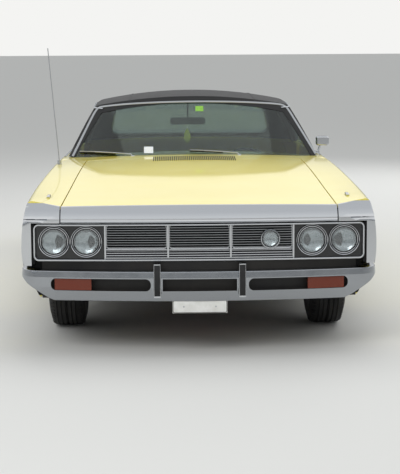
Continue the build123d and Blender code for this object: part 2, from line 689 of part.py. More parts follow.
# Front bumper: swept channel with slots for the turn lamps, and the plate bracket below it
guard_proud = 12.0
bumper_face_y = front_y + guard_proud
bumper_radius = 4246.0
bumper_centre_half = 896.0
bumper_top_z = 478.0
bumper_bottom_z = 304.0
bumper_depth = 66.0
bumper_wall = 7.0
front_profile = [(bumper_depth, bumper_top_z), (3, bumper_top_z - 2), (0, 440), (0, 385), (26, bumper_bottom_z + 3),
                 (bumper_depth, bumper_bottom_z)]
slot_low_z = 367.0
slot_high_z = 435.0
slot_inner_x = 270.0
slot_outer_x = 826.0
plate_hole_spacing = 178.0
plate_hole_z = 276.0
plate_bracket_y = bumper_face_y + 34
with BuildPart() as front_bumper:
    add(bumper_half(bumper_face_y, -1, front_profile, bumper_radius, bumper_centre_half, 130, 108, bumper_wall))
    mirror(about=Plane.YZ)
    for side in (-1, 1):
        slot = [(side * slot_inner_x, slot_low_z), (side * slot_inner_x, slot_high_z),
                (side * slot_outer_x, slot_high_z), (side * slot_outer_x, slot_low_z)]
        add(front_prism(slot, front_y - 50, front_y + 200, 30), mode=Mode.SUBTRACT)
        taper = [(side * x, z) for x, z in ((760, 150), (800, 303), (849, 326), (961, 399), (1000, 436),
                                            (1030, 446), (1200, 446), (1200, 150))]
        add(front_prism(taper, front_y - 50, front_y + 500), mode=Mode.SUBTRACT)
    add(block((-205, front_y - 50, slot_low_z), (205, front_y + 60, slot_high_z)), mode=Mode.SUBTRACT)
    add(block((-150, plate_bracket_y, 240), (150, plate_bracket_y + 4, bumper_bottom_z + 3)))
    with Locations((-plate_hole_spacing / 2, plate_bracket_y, plate_hole_z),
                   (plate_hole_spacing / 2, plate_bracket_y, plate_hole_z)):
        Cylinder(3.5, 60, rotation=(90, 0, 0), mode=Mode.SUBTRACT)
save(front_bumper, "front_bumper")

bumper_centre_y = bumper_face_y + bumper_radius
backing_y = bumper_face_y + bumper_depth + seat_gap
backing_angle = math.degrees(math.asin(880 / (bumper_radius - bumper_depth)))


def bumper_at(x):
    """How far the front bumper's face lies behind its middle at this distance from the centre line."""
    return bumper_radius - math.sqrt(bumper_radius**2 - x**2)


# Filler panel behind the front bumper, up to the grille and back to the radiator support
with BuildPart() as filler_panel:
    add(arc_band([(backing_y, 312), (backing_y, grille_low_z - seat_gap), (backing_y + 8, grille_low_z - seat_gap),
                  (backing_y + 8, 312)], bumper_centre_y,
                 backing_angle))
    for low, high in ((-450, -390), (390, 450)):
        add(block((low, backing_y + bumper_at(390) + 2, 375), (high, support_y - sheet, 465)))
save(filler_panel, "filler_panel")

# Guards on the bumper, one each side of the plate
guard_x = 235.0
with BuildPart() as bumper_guards:
    guard_back = bumper_face_y + bumper_at(guard_x - 20) - seat_gap
    with Locations((-guard_x, (front_y + guard_back) / 2, 427), (guard_x, (front_y + guard_back) / 2, 427)):
        Box(40, guard_back - front_y, 185)
    with Locations((-guard_x, front_y + 30, 500), (guard_x, front_y + 30, 500)):
        Box(40, 60, 40)
    add(block((-400, bumper_face_y - 1, 300), (400, front_y + 200, bumper_top_z + seat_gap)) & arc_band(
        [(bumper_face_y - seat_gap, 300), (bumper_face_y - seat_gap, bumper_top_z + seat_gap),
         (front_y + 200, bumper_top_z + seat_gap), (front_y + 200, 300)], bumper_centre_y, 6), mode=Mode.SUBTRACT)
    fillet(bumper_guards.edges().filter_by(Axis.Z).group_by(Axis.Y)[0], 8)
save(bumper_guards, "bumper_guards")

# Turn lamps in the outer ends of the slots
with BuildPart() as front_turn_lamps:
    lamp_band = arc_band([(bumper_face_y + 9, slot_low_z + 2), (bumper_face_y + 9, slot_high_z - 2),
                          (backing_y - seat_gap, slot_high_z - 2), (backing_y - seat_gap, slot_low_z + 2)],
                         bumper_centre_y, 12)
    for side in (-1, 1):
        low, high = sorted((side * 600, side * 805))
        add(lamp_band & block((low, front_y - 50, 300), (high, front_y + 300, 500)))
save(front_turn_lamps, "front_turn_lamps")

# Rear bumper with three lamps a side
tail_radius = ((half_width + 60) ** 2 + tail_bow**2) / (2 * tail_bow)
rear_bumper_depth = tail_y - tail_face_y - seat_gap
rear_bumper_half = 880.0
rear_profile = [(rear_bumper_depth, 566), (4, 560), (0, 530), (0, 430), (14, 405), (rear_bumper_depth, 396)]
tail_lamp_low_z = 440.0
tail_lamp_high_z = 516.0
tail_lamp_x = [(350, 500), (530, 680), (710, 860)]
with BuildPart() as rear_bumper:
    add(bumper_half(tail_y, 1, rear_profile, tail_radius + tail_y - tail_face_y, rear_bumper_half, 115, 190,
                    bumper_wall))
    mirror(about=Plane.YZ)
    for side in (-1, 1):
        for x1, x2 in tail_lamp_x:
            slot = [(side * x1, tail_lamp_low_z), (side * x1, tail_lamp_high_z), (side * x2, tail_lamp_high_z),
                    (side * x2, tail_lamp_low_z)]
            add(front_prism(slot, tail_y - 60, tail_y + 50, 14), mode=Mode.SUBTRACT)
    add(tail_panel.part, mode=Mode.SUBTRACT)
save(rear_bumper, "rear_bumper")
tail_centre_y = tail_face_y - tail_radius
with BuildPart() as tail_lamps:
    lamp_band = arc_band([(tail_y - 10, tail_lamp_low_z + 2), (tail_y - 10, tail_lamp_high_z - 2),
                          (tail_face_y + seat_gap, tail_lamp_high_z - 2), (tail_face_y + seat_gap, tail_lamp_low_z + 2)],
                         tail_centre_y, 4.5)
    for side in (-1, 1):
        for x1, x2 in tail_lamp_x:
            low, high = sorted((side * (x1 + 2), side * (x2 - 2)))
            add(lamp_band & block((low, tail_y - 200, 300), (high, tail_y + 50, 600)))
save(tail_lamps, "tail_lamps")


def beam(start, end, radius):
    """A round bar between two points."""
    direction = Vector(*end) - Vector(*start)
    plane = Plane(origin=start, z_dir=direction)
    bar = Cylinder(radius, direction.length, align=(Align.CENTER, Align.CENTER, Align.MIN), mode=Mode.PRIVATE)
    return plane.location * bar


def cut_plan(points, low_z, high_z):
    """A plate on a plan outline, on both sides of the car."""
    plate = plan_prism(points, low_z, high_z)
    return [plate, mirror(plate, about=Plane.YZ, mode=Mode.PRIVATE)]


# Frame: front rails, side rails under the floor, kicked-up rear rails and crossmembers
rail_low_z = 180.0
rail_top_z = floor_z - seat_gap
exhaust_x = -330.0
exhaust_radius = 28.0
exhaust_z = floor_z - seat_gap - exhaust_radius
crossmember_y = front_axle_y
crossmember_top_z = 300.0
rear_rail = [(y + seat_gap, z - seat_gap) for y, z in pan[1:]]
rear_rail_low = [(y, z - 70) for y, z in pan[2:]]
with BuildPart() as frame:
    for side in (-1, 1):
        low, high = sorted((side * 390, side * 460))
        add(block((low, support_y + seat_gap, crossmember_top_z + 5), (high, -1150, rail_top_front_z)))
        low, high = sorted((side * 390, side * 760))
        add(block((low, -1190, rail_low_z), (high, firewall_y - 20, rail_top_front_z)))
        low, high = sorted((side * 655, side * 760))
        add(block((low, -1190, rail_low_z), (high, 760, rail_top_z)))
        low, high = sorted((side * 470, side * 545))
        torque = [(640, rail_low_z), (640, rail_top_z)]
        add(side_prism(torque + rear_rail + rear_rail_low[::-1] + [(760, rail_low_z)], low, high))
        low, high = sorted((side * 470, side * 700))
        add(block((low, 640, rail_low_z), (high, 710, rail_top_z)))
    for y in (-760, 600):
        add(block((-700, y, rail_low_z), (700, y + 60, rail_top_z - 4)))
    add(beam((exhaust_x, -1000, exhaust_z), (exhaust_x, 1000, exhaust_z), exhaust_radius + 8), mode=Mode.SUBTRACT)
    add(floor.part, mode=Mode.SUBTRACT)
save(frame, "frame")

# Front suspension: crossmember, towers, arms and coil springs
kingpin_x = 700.0
hub_z = tyre_radius
lower_ball_z = 225.0
upper_ball_z = 485.0
with BuildPart() as front_suspension:
    add(block((-440, crossmember_y - 80, 215), (440, crossmember_y + 80, crossmember_top_z)))
    for side in (-1, 1):
        arm = [(side * 420, crossmember_y - 105), (side * 690, crossmember_y - 30), (side * 718, crossmember_y),
               (side * 690, crossmember_y + 30), (side * 420, crossmember_y + 105)]
        add(plan_prism(arm, lower_ball_z - 20, lower_ball_z))
        add(plan_prism(arm, upper_ball_z + seat_gap, upper_ball_z + seat_gap + 16))
        low, high = sorted((side * 395, side * 465))
        add(block((low, crossmember_y - 70, 210), (high, crossmember_y + 70, upper_ball_z + 16)))
        add(beam((side * 550, crossmember_y, lower_ball_z - 5), (side * 550, crossmember_y, upper_ball_z + 4), 48))
    add(frame.part, mode=Mode.SUBTRACT)
save(front_suspension, "front_suspension")

# Rear axle with its differential, springs, trailing arms and driveshaft
gearbox_rear_y = -680.0
driveshaft_radius = 36.0
axle_end_x = 722.0
shaft_radius = 18.0
with BuildPart() as rear_axle:
    add(beam((-axle_end_x, rear_axle_y, hub_z), (axle_end_x, rear_axle_y, hub_z), 38))
    add(beam((-axle_end_x - 30, rear_axle_y, hub_z), (axle_end_x + 30, rear_axle_y, hub_z), shaft_radius))
    with Locations((0, rear_axle_y, hub_z)):
        Sphere(128)
    add(beam((0, gearbox_rear_y + 1.5, 322), (0, rear_axle_y - 100, hub_z), driveshaft_radius))
    for side in (-1, 1):
        add(beam((side * 507, rear_axle_y, hub_z + 20), (side * 507, rear_axle_y, 548 - 70 - seat_gap), 50))
        low, high = sorted((side * 560, side * 600))
        add(side_prism([(735, 185), (735, 239), (rear_axle_y, 372), (rear_axle_y + 30, 330)], low, high))
save(rear_axle, "rear_axle")

# Engine as one block with its gearbox
with BuildPart() as engine:
    add(block((-265, -2180, crossmember_top_z + seat_gap), (265, -1330, 790)))
    add(block((-80, -1335, 241), (80, gearbox_rear_y, 385)))
    fillet(engine.edges().filter_by(Axis.Y), 12)
save(engine, "engine")

# Exhaust: pipe under the floor, silencer and manifold
with BuildPart() as exhaust:
    add(beam((exhaust_x, -1480, exhaust_z), (exhaust_x, tail_face_y - 60, exhaust_z), exhaust_radius))
    with BuildSketch(Plane.XZ.offset(-2250)):
        with Locations((exhaust_x - 40, exhaust_z)):
            Ellipse(100, 50)
    extrude(amount=500)
    add(block((exhaust_x - 22, -1480, exhaust_z), (-265 - seat_gap, -1380, 560)))
save(exhaust, "exhaust")

# Fuel tank under the trunk floor
with BuildPart() as fuel_tank:
    add(block((-225, 1850, 215), (440, 2560, pan[6][1] - seat_gap)))
    fillet(fuel_tank.edges().filter_by(Axis.X), 25)
save(fuel_tank, "fuel_tank")

# Dashboard with the steering column
wheel_hub = (380.0, -400.0, 800.0)
column_rake = math.radians(20)
hub_depth = 40.0
column_run = wheel_hub[1] - firewall_y - sheet - seat_gap
column_low = (wheel_hub[0], wheel_hub[1] - column_run, wheel_hub[2] - column_run * math.tan(column_rake))
column_stop = (hub_depth / 2 + seat_gap) * math.cos(column_rake)
column_high = (wheel_hub[0], wheel_hub[1] - column_stop, wheel_hub[2] - column_stop * math.tan(column_rake))
dash_half = 800 - seat_gap
with BuildPart() as dashboard:
    add(side_prism([(-790, 924), (-630, 918), (-590, 880), (-600, 720), (-680, 650), (-790, 650)], -dash_half,
                   dash_half, 12))
    add(beam(column_low, column_high, 24))
    add(block((-1200, -1200, 400), (1200, firewall_y + sheet + seat_gap, 1000)), mode=Mode.SUBTRACT)
save(dashboard, "dashboard")

# Seats: two benches standing on the floor, cut clear of the tunnel
pan_top_z = floor_z + sheet
front_seat_side = [(-230, 330), (-230, 470), (-200, 500), (200, 470), (330, 850), (400, 870), (470, 850), (360, 330),
                   (200, 300), (200, pan_top_z + seat_gap), (-120, pan_top_z + seat_gap), (-120, 300)]
rear_seat_side = [(698, pan_top_z + seat_gap), (716, pan_top_z + seat_gap), (824, 418), (973, 567), (1080, 567),
                  (1150, 840), (1110, 870), (1050, 850), (985, 500), (950, 470), (720, 490), (698, 465)]
with BuildPart() as seats:
    add(side_prism(front_seat_side, -690, 690))
    add(side_prism(rear_seat_side, -600, 600))
    add(front_prism([(-175, 100), (-115, floor_z + tunnel_height + 6), (115, floor_z + tunnel_height + 6),
                     (175, 100)], -500, step_y + 180), mode=Mode.SUBTRACT)
save(seats, "seats")

# Mirror inside, hung from the roof's front edge
with BuildPart() as inside_mirror:
    with Locations((-32, -500, 1187)):
        Box(247, 18, 50)
    fillet(inside_mirror.edges().filter_by(Axis.Y), 20)
    add(beam((-32, -500, 1200), (-32, -470, 1330), 6))
    add(roof_solid.moved(Location((0, 0, -seat_gap))) - cabin_space.moved(Location((0, 0, -seat_gap))),
        mode=Mode.SUBTRACT)
save(inside_mirror, "inside_mirror")

# Wipers at rest at the foot of the windscreen
Wiper = namedtuple("Wiper", "pivot_x tip_x")
screen_lean = (screen_top[0] - screen_base[0]) / (screen_top[1] - screen_base[1])


def wiper_point(x, height):
    """A point just ahead of the windscreen's foot, above the cowl."""
    cowl_z = 986 - 27 * (x / 710) ** 2
    y = screen_base[0] + screen_lean * (cowl_z - screen_base[1]) + screen_sweep * (x / 900) ** 2 - 26
    return (x, y, cowl_z + height)


with BuildPart() as wipers:
    for wiper in (Wiper(-430, -775), Wiper(300, -45)):
        add(beam(wiper_point(wiper.pivot_x, 12), wiper_point(wiper.tip_x, 12), 5))
        add(beam(wiper_point(wiper.pivot_x, -20), wiper_point(wiper.pivot_x, 18), 11))
    add(body_outer.moved(Location((0, 0, seat_gap))), mode=Mode.SUBTRACT)
save(wipers, "wipers")

# Aerial on the right fender
aerial_base = (-885.0, -1200.0)
with BuildPart() as antenna:
    add(beam((*aerial_base, 900), (*aerial_base, 972), 13))
    add(beam((*aerial_base, 960), (aerial_base[0] - 62, aerial_base[1] + 5, 1700), 3))
    add(body_outer.moved(Location((0, 0, seat_gap))), mode=Mode.SUBTRACT)
save(antenna, "antenna")

# Door fittings: a grip handle on each door and a mirror on the left one
handle_outside = lower_loft(-22, -20, stretch=0.0)
handle_inside = lower_loft(-seat_gap, -seat_gap, stretch=0.005)
handle_y = 330.0
handle_z = 822.0
with BuildPart() as door_handle:
    add(handle_outside & block((850, handle_y - 75, handle_z - 11), (1100, handle_y + 75, handle_z + 11)))
    add(handle_inside, mode=Mode.SUBTRACT)
save_pair(door_handle, "door_handle")
mirror_head = (930.0, -400.0, 1035.0)
with BuildPart() as door_mirror:
    with Locations(mirror_head):
        Box(92, 46, 66)
    fillet(door_mirror.edges().filter_by(Axis.Y), 16)
    fillet(door_mirror.faces().sort_by(Axis.Y)[0].edges(), 10)
    add(beam((893, -408, 940), (918, -400, 1010), 8))
    add(beam((893, -408, 930), (893, -408, 962), 17))
    add(body_outer.moved(Location((0, 0, seat_gap))), mode=Mode.SUBTRACT)
save(door_mirror, "door_mirror")

# Steering wheel: rim, hub and two spokes, about the column
wheel_plane = Plane(origin=wheel_hub, x_dir=(1, 0, 0), z_dir=(0, math.cos(column_rake), math.sin(column_rake)))
with BuildPart() as steering_wheel:
    with BuildSketch(Plane.XZ):
        with Locations((195, 0)):
            Circle(11)
    revolve(axis=Axis.Z)
    Cylinder(42, hub_depth)
    with Locations((0, -20, -4)):
        Box(376, 32, 10)
steering_wheel.part = wheel_plane.location * steering_wheel.part
save(steering_wheel, "steering_wheel")

# Tie rod across the car, just below the eyes of the steering arms
eye_x = 625.0
eye_y = front_axle_y + 150
eye_z = 232.0
with BuildPart() as tie_rod:
    add(beam((-eye_x + 4, eye_y, eye_z - 10 - seat_gap - 12), (eye_x - 4, eye_y, eye_z - 10 - seat_gap - 12), 12))
save(tie_rod, "tie_rod")

# Knuckles: upright, spindle and steering arm
drum_face_x = 743.0
with BuildPart() as knuckle:
    add(block((672, front_axle_y - 30, lower_ball_z + seat_gap), (730, front_axle_y + 30, upper_ball_z)))
    fillet(knuckle.edges().filter_by(Axis.X), 12)
    add(beam((kingpin_x, front_axle_y, hub_z), (737, front_axle_y, hub_z), 45))
    add(beam((kingpin_x, front_axle_y, hub_z), (drum_face_x + 30, front_axle_y, hub_z), shaft_radius))
    add(beam((682, front_axle_y + 10, eye_z + 14), (eye_x, eye_y, eye_z), 10))
    add(beam((eye_x, eye_y, eye_z - 10), (eye_x, eye_y, eye_z + 12), 16))
save_pair(knuckle, "knuckle")

# Wheels and tyres: profiles of (outward distance from the tyre's middle, radius), turned about the axle
rim_profile = [(-86, 190), (-86, 184), (-60, 170), (-45, 170), (-45, 18.4), (0, 18.4), (0, 0), (64, 0),
               (68, 30), (66, 70), (50, 96), (44, 150), (54, 176), (60, 182), (86, 184), (86, 190)]
tyre_profile = [(-82, 190.3), (-107.5, 290), (-84, 350), (-70, tyre_radius), (70, tyre_radius), (84, 350),
                (107.5, 290), (82, 190.3)]
Corner = namedtuple("Corner", "name x y")
corners = [
    Corner("front_left", front_track / 2, front_axle_y),
    Corner("front_right", -front_track / 2, front_axle_y),
    Corner("rear_left", rear_track / 2, rear_axle_y),
    Corner("rear_right", -rear_track / 2, rear_axle_y),
]
for corner in corners:
    outward = math.copysign(1, corner.x)
    spin_axis = Axis((0, corner.y, hub_z), (1, 0, 0))
    for name, profile in (("wheel", rim_profile), ("tyre", tyre_profile)):
        with BuildPart() as turned:
            with BuildSketch(Plane.XZ.offset(-corner.y)):
                with BuildLine():
                    Polyline([(corner.x + outward * a, hub_z + r) for a, r in profile], close=True)
                make_face()
            revolve(axis=spin_axis)
        save(turned, f"{name}_{corner.name}")
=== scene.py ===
# %% [markdown]
# # A late-1960s full-size two-door hardtop
# The car's solids come in as a fixed frame, with every door, lid and wheel already riding on its own
# body. This lesson gives each of them its real finish, and lays the bright trim, the lamps, the grille
# bars, the seats and the tyres' tread over them.

# %% Load the frame
import bpy
import bmesh
import json
import math
from mathutils import Matrix, Vector
from mathutils.bvhtree import BVHTree


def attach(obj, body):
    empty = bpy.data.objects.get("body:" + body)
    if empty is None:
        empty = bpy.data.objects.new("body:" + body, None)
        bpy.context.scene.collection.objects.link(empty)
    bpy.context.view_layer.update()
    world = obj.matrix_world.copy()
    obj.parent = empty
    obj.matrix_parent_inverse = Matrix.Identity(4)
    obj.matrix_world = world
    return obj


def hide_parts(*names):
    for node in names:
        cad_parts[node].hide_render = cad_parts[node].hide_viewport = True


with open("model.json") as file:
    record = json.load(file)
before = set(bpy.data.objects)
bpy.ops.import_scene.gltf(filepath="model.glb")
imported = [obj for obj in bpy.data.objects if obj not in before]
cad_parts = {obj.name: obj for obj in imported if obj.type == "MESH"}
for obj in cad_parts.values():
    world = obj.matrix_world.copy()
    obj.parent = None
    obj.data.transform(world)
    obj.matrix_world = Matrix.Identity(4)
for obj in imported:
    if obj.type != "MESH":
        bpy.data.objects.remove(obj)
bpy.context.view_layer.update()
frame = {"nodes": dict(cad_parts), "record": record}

# %% [markdown]
# ## Camera
# The picture looks at the nose from a little above, from far away with a long lens, so the roof and the
# bumper keep nearly the same scale. One lens length and one place reproduce that. The camera is turned a
# degree towards the car's left side and rolled by a third of a degree.

# %% Camera
photo_width = 400
focal_pixels = 1400.0
camera_place = Vector((-0.156, -10.392, 1.69))
turn, dip, roll = math.radians(1.19), math.radians(7.65), math.radians(-0.35)
camera_data = bpy.data.cameras.new("camera")
camera_data.sensor_fit = "HORIZONTAL"
camera_data.sensor_width = 36.0
camera_data.lens = focal_pixels / photo_width * camera_data.sensor_width
camera = bpy.data.objects.new("camera", camera_data)
bpy.context.scene.collection.objects.link(camera)
look = Vector((math.sin(turn) * math.cos(dip), math.cos(turn) * math.cos(dip), -math.sin(dip)))
camera.rotation_mode = "QUATERNION"
camera.rotation_quaternion = look.to_track_quat("-Z", "Y") @ Matrix.Rotation(roll, 3, "Z").to_quaternion()
camera.location = camera_place
bpy.context.scene.camera = camera
print("lens", round(camera_data.lens, 1), "mm")

# %% [markdown]
# ## Small helpers
# Colours are written as sRGB hex values, and one function turns them to the linear numbers that a shader
# wants. One function adds a node with its settings and links. One makes an object out of points and faces.


# %% Helpers for colours, nodes and meshes
def linear(hex_colour):
    """Linear RGBA of an sRGB hex value."""
    values = [int(hex_colour[i : i + 2], 16) / 255 for i in (1, 3, 5)]
    return [v / 12.92 if v <= 0.04045 else ((v + 0.055) / 1.055) ** 2.4 for v in values] + [1.0]


def add_node(tree, kind, links=(), **settings):
    """A node with its settings. Each link is (input, output socket); an int or a name picks the input."""
    node = tree.nodes.new(kind)
    for key, value in settings.items():
        if hasattr(node, key):
            setattr(node, key, value)
        else:
            node.inputs[key.replace("_", " ")].default_value = value
    for target, source in links:
        tree.links.new(source, node.inputs[target])
    return node


def object_noise(tree, size, detail=3.0, stretch=(1, 1, 1)):
    """Noise on Object coordinates whose blotches are about size metres across."""
    place = add_node(tree, "ShaderNodeTexCoord").outputs["Object"]
    mapped = add_node(tree, "ShaderNodeMapping", [("Vector", place)])
    mapped.inputs["Scale"].default_value = [value / size for value in stretch]
    noise = add_node(tree, "ShaderNodeTexNoise", [("Vector", mapped.outputs[0])], Scale=1.0, Detail=detail,
                     Roughness=0.5)
    return noise.outputs["Fac"]


def finish(name, colour, roughness, metallic=0.0, shades=None, haze=None, grain=None, **shader_values):
    """A material of one Principled shader. Its noises are (size, low, high): shades vary the colour and haze the
    roughness. Grain is (size, strength, depth) of a bump. A fourth value is the noise's detail, a fifth its
    stretch."""
    material = bpy.data.materials.new(name)
    material.use_nodes = True
    tree = material.node_tree
    shader = tree.nodes["Principled BSDF"]
    for key, value in {"Base Color": linear(colour), "Roughness": roughness, "Metallic": metallic}.items():
        shader.inputs[key].default_value = value
    for key, value in shader_values.items():
        shader.inputs[key.replace("_", " ")].default_value = value
    material.diffuse_color = linear(colour)
    if shades:
        size, low, high, *noise = shades
        ramp = add_node(tree, "ShaderNodeValToRGB", [("Fac", object_noise(tree, size, *noise))])
        for element, position, shade in zip(ramp.color_ramp.elements, (0.3, 0.7), (low, high)):
            element.position, element.color = position, linear(shade)
        tree.links.new(ramp.outputs["Color"], shader.inputs["Base Color"])
    if haze:
        size, low, high, *noise = haze
        spread = add_node(tree, "ShaderNodeMapRange", [("Value", object_noise(tree, size, *noise))], To_Min=low,
                          To_Max=high)
        tree.links.new(spread.outputs[0], shader.inputs["Roughness"])
    if grain:
        size, strength, depth, *noise = grain
        bump = add_node(tree, "ShaderNodeBump", [("Height", object_noise(tree, size, *noise))], Strength=strength,
                        Distance=depth)
        tree.links.new(bump.outputs[0], shader.inputs["Normal"])
    return material


def carrier(node):
    """The body that a node belongs to."""
    return next(body for body, nodes in frame["record"]["behaviour"]["bodies"].items() if node in nodes)


def make_object(name, mesh, material, body, smooth_angle=30.0):
    """An object at the origin for a finished mesh, riding on a body."""
    piece = bpy.data.objects.new(name, mesh)
    bpy.context.scene.collection.objects.link(piece)
    mesh.name = name
    if material:
        mesh.materials.clear()
        mesh.materials.append(material)
    if smooth_angle:
        mesh.shade_smooth()
        mesh.set_sharp_from_angle(angle=math.radians(smooth_angle))
    if body:
        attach(piece, body)
    return piece


def edit_mesh(mesh, weld=None):
    """Merges a mesh's double points and turns its normals out."""
    shape = bmesh.new()
    shape.from_mesh(mesh)
    if weld:
        bmesh.ops.remove_doubles(shape, verts=shape.verts, dist=weld)
    bmesh.ops.recalc_face_normals(shape, faces=shape.faces)
    shape.to_mesh(mesh)
    shape.free()
    return mesh


def mesh_from(points, faces):
    """A mesh of points and faces, with its normals facing out."""
    mesh = bpy.data.meshes.new("shape")
    mesh.from_pydata([tuple(point) for point in points], [], faces)
    return edit_mesh(mesh, 1e-6)


def slab(front, back):
    """A closed mesh between two outlines with as many points."""
    count = len(front)
    faces = [tuple(range(count)), tuple(range(count, 2 * count))]
    faces += [(i, (i + 1) % count, count + (i + 1) % count, count + i) for i in range(count)]
    return mesh_from(list(front) + list(back), faces)


def join_meshes(meshes):
    """One mesh out of several."""
    shape = bmesh.new()
    for mesh in meshes:
        shape.from_mesh(mesh)
        bpy.data.meshes.remove(mesh)
    joined = bpy.data.meshes.new("joined")
    shape.to_mesh(joined)
    shape.free()
    return joined


def fit(name, meshes, material, body="chassis", angle=40, node=None):
    """One piece out of one or more meshes and the node that it stands for."""
    mesh = join_meshes(meshes) if isinstance(meshes, list) else meshes
    piece = make_object(name, mesh, material, body, angle)
    if node:
        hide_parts(node)
    print(name, "on", body, "faces", len(piece.data.polygons))
    return piece


def settle(piece):
    """Turns an object's live modifiers into plain mesh."""
    depsgraph = bpy.context.evaluated_depsgraph_get()
    mesh = bpy.data.meshes.new_from_object(piece.evaluated_get(depsgraph))
    piece.modifiers.clear()
    piece.data = mesh
    return piece


# %% [markdown]
# ## Floor and light
# The floor is pale and plain. Bright trim needs something to mirror, so the sky is white above eye level, a
# shade darker overhead and grey below, as under a big soft tent. Mirrors see it a little brighter than matt
# surfaces do. Three wide lamps, unseen in the mirrors, light the car from the front, the top and the back.

# %% Floor, lamps and sky
reach = 400
floor_mesh = mesh_from([(-reach, -reach, 0), (reach, -reach, 0), (reach, reach, 0), (-reach, reach, 0)],
                       [(0, 1, 2, 3)])
# Matt studio paper: pale, even and without shine, so that only the object's shadow marks it.
studio_paper = finish("studio_paper", "#D9D9D6", 0.9, grain=(0.02, 0.1, 0.0005))
studio_floor = make_object("studio_floor", floor_mesh, studio_paper, None, 0)


def lamp(name, place, target, size, watts):
    """A wide lamp that the mirrors don't show."""
    data = bpy.data.lights.new(name, "AREA")
    data.shape = "RECTANGLE"
    data.size, data.size_y = size
    data.energy = watts
    light = bpy.data.objects.new(name, data)
    bpy.context.scene.collection.objects.link(light)
    light.location = place
    light.rotation_euler = (Vector(target) - Vector(place)).to_track_quat("-Z", "Y").to_euler()
    light.visible_glossy = False


lamp("key_lamp", (-3.5, -9.0, 6.5), (0, -1.0, 0.6), (5.0, 4.0), 300)
lamp("top_lamp", (0.5, 0.5, 7.5), (0, 0.2, 0), (9.0, 5.0), 250)
lamp("back_lamp", (4.5, 8.0, 4.5), (0, 1.0, 0.7), (5.0, 3.0), 170)

world = bpy.data.worlds.new("soft_tent")
bpy.context.scene.world = world
world.use_nodes = True
tree = world.node_tree
tree.nodes.clear()
direction = add_node(tree, "ShaderNodeTexCoord").outputs["Generated"]
height = add_node(tree, "ShaderNodeSeparateXYZ", [("Vector", direction)]).outputs["Z"]
sky = add_node(tree, "ShaderNodeValToRGB", [("Fac", height)])
stops = [(0.0, "#5F6367"), (0.90, "#D3D6D9"), (0.07, "#A9AEB1"), (0.30, "#FFFFFF"), (0.62, "#F1F3F4")]
for (position, colour), element in zip(stops, sky.color_ramp.elements):
    element.position, element.color = position, linear(colour)
for position, colour in stops[2:]:
    sky.color_ramp.elements.new(position).color = linear(colour)
tent = add_node(tree, "ShaderNodeBackground", [("Color", sky.outputs["Color"])], Strength=0.75)
backdrop = add_node(tree, "ShaderNodeBackground", Strength=1.0)
backdrop.inputs["Color"].default_value = linear("#F4F4F2")
mirrored = add_node(tree, "ShaderNodeBackground", [("Color", sky.outputs["Color"])], Strength=1.1)
path = add_node(tree, "ShaderNodeLightPath")
seen = add_node(tree, "ShaderNodeMixShader", [(0, path.outputs["Is Glossy Ray"]), (1, tent.outputs[0]),
                                              (2, mirrored.outputs[0])])
mix = add_node(tree, "ShaderNodeMixShader", [(0, path.outputs["Is Camera Ray"]), (1, seen.outputs[0]),
                                             (2, backdrop.outputs[0])])
add_node(tree, "ShaderNodeOutputWorld", [("Surface", mix.outputs[0])])
bpy.context.scene.view_settings.view_transform = "Standard"

# %% [markdown]
# ## Finishes
# Each finish starts from what the real surface is. Acrylic enamel is a pale colour under a clear shine,
# with the faint ripple of sprayed paint. Chrome plate mirrors, and only its haze varies. Grained vinyl is
# soft black with pebbles a millimetre across, drawn a little coarser so that it shows.

# %% Body enamel and chrome plate
# Sprayed acrylic enamel: one even, pale colour under a clear gloss, with a barely seen ripple.
body_enamel = finish("acrylic_enamel_butter", "#F0E064", 0.32, shades=(0.9, "#EDDC5C", "#F3E470"),
                     haze=(0.25, 0.28, 0.38), grain=(0.006, 0.06, 0.0004), Coat_Weight=0.9, Coat_Roughness=0.06,
                     IOR=1.5)
# Polished chrome plate: a mirror whose reflections soften a little here and there.
chrome = finish("chrome_plate", "#C9CBCE", 0.1, 1.0, haze=(0.08, 0.07, 0.15))
# Older plate on the bumpers: greyer, and cloudy in patches from weather and wiping.
worn_chrome = finish("chrome_plate_worn", "#A6A9AD", 0.16, 1.0, haze=(0.05, 0.10, 0.26, 5.0))

# %% Black vinyl roof cloth and seat vinyl
# Grained vinyl cloth: deep matt black. Its pebbles are drawn at 4 mm, coarser than real, to show.
roof_vinyl = finish("grained_vinyl_black", "#0B0B0C", 0.62, shades=(0.3, "#080809", "#101011"),
                    grain=(0.004, 0.6, 0.0012), Sheen_Weight=0.04)
# Upholstery vinyl: a softer, slightly polished black, with its grain drawn as coarse.
seat_vinyl = finish("upholstery_vinyl_black", "#1B1B1D", 0.42, shades=(0.15, "#151517", "#252527"),
                    grain=(0.004, 0.5, 0.0008), Sheen_Weight=0.1)

# %% Glass with a grey-green tint that is partly painted shade, lenses and silvered surfaces
# Laminated glass: a faint green cast of its own, drawn greyer than real glass as painted shade so that the cabin
# behind it looks dark, and nearly free of haze.
window_glass = finish("laminated_glass", "#A9B8B2", 0.02, haze=(0.3, 0.0, 0.04), Transmission_Weight=1.0, IOR=1.45)
# Pressed lamp glass: clear, with a soft shine from the mould.
clear_lens = finish("pressed_lens_glass", "#E0E5E6", 0.08, haze=(0.02, 0.04, 0.14), Transmission_Weight=0.9, IOR=1.5)
# Moulded acrylic lenses: deep colour, lit from outside, with prisms that break up the shine.
lens_grain = (0.004, 0.3, 0.001)
# The amber's deep brown is partly the lens's own colour and partly painted shade of the bumper slots that hold the
# turn lamps.
amber_lens = finish("acrylic_lens_amber", "#7A3018", 0.22, grain=lens_grain, Transmission_Weight=0.25, IOR=1.49)
red_lens = finish("acrylic_lens_red", "#A01212", 0.18, grain=lens_grain, Transmission_Weight=0.2, IOR=1.49)
# A silvered bowl mirrors softly; the silvered back of a flat mirror does it sharply.
bowl_silver = finish("silvered_bowl", "#CDD1D3", 0.16, 1.0, haze=(0.03, 0.10, 0.22))
mirror_silver = finish("silvered_mirror", "#E8ECEE", 0.02, 1.0, haze=(0.05, 0.01, 0.04))
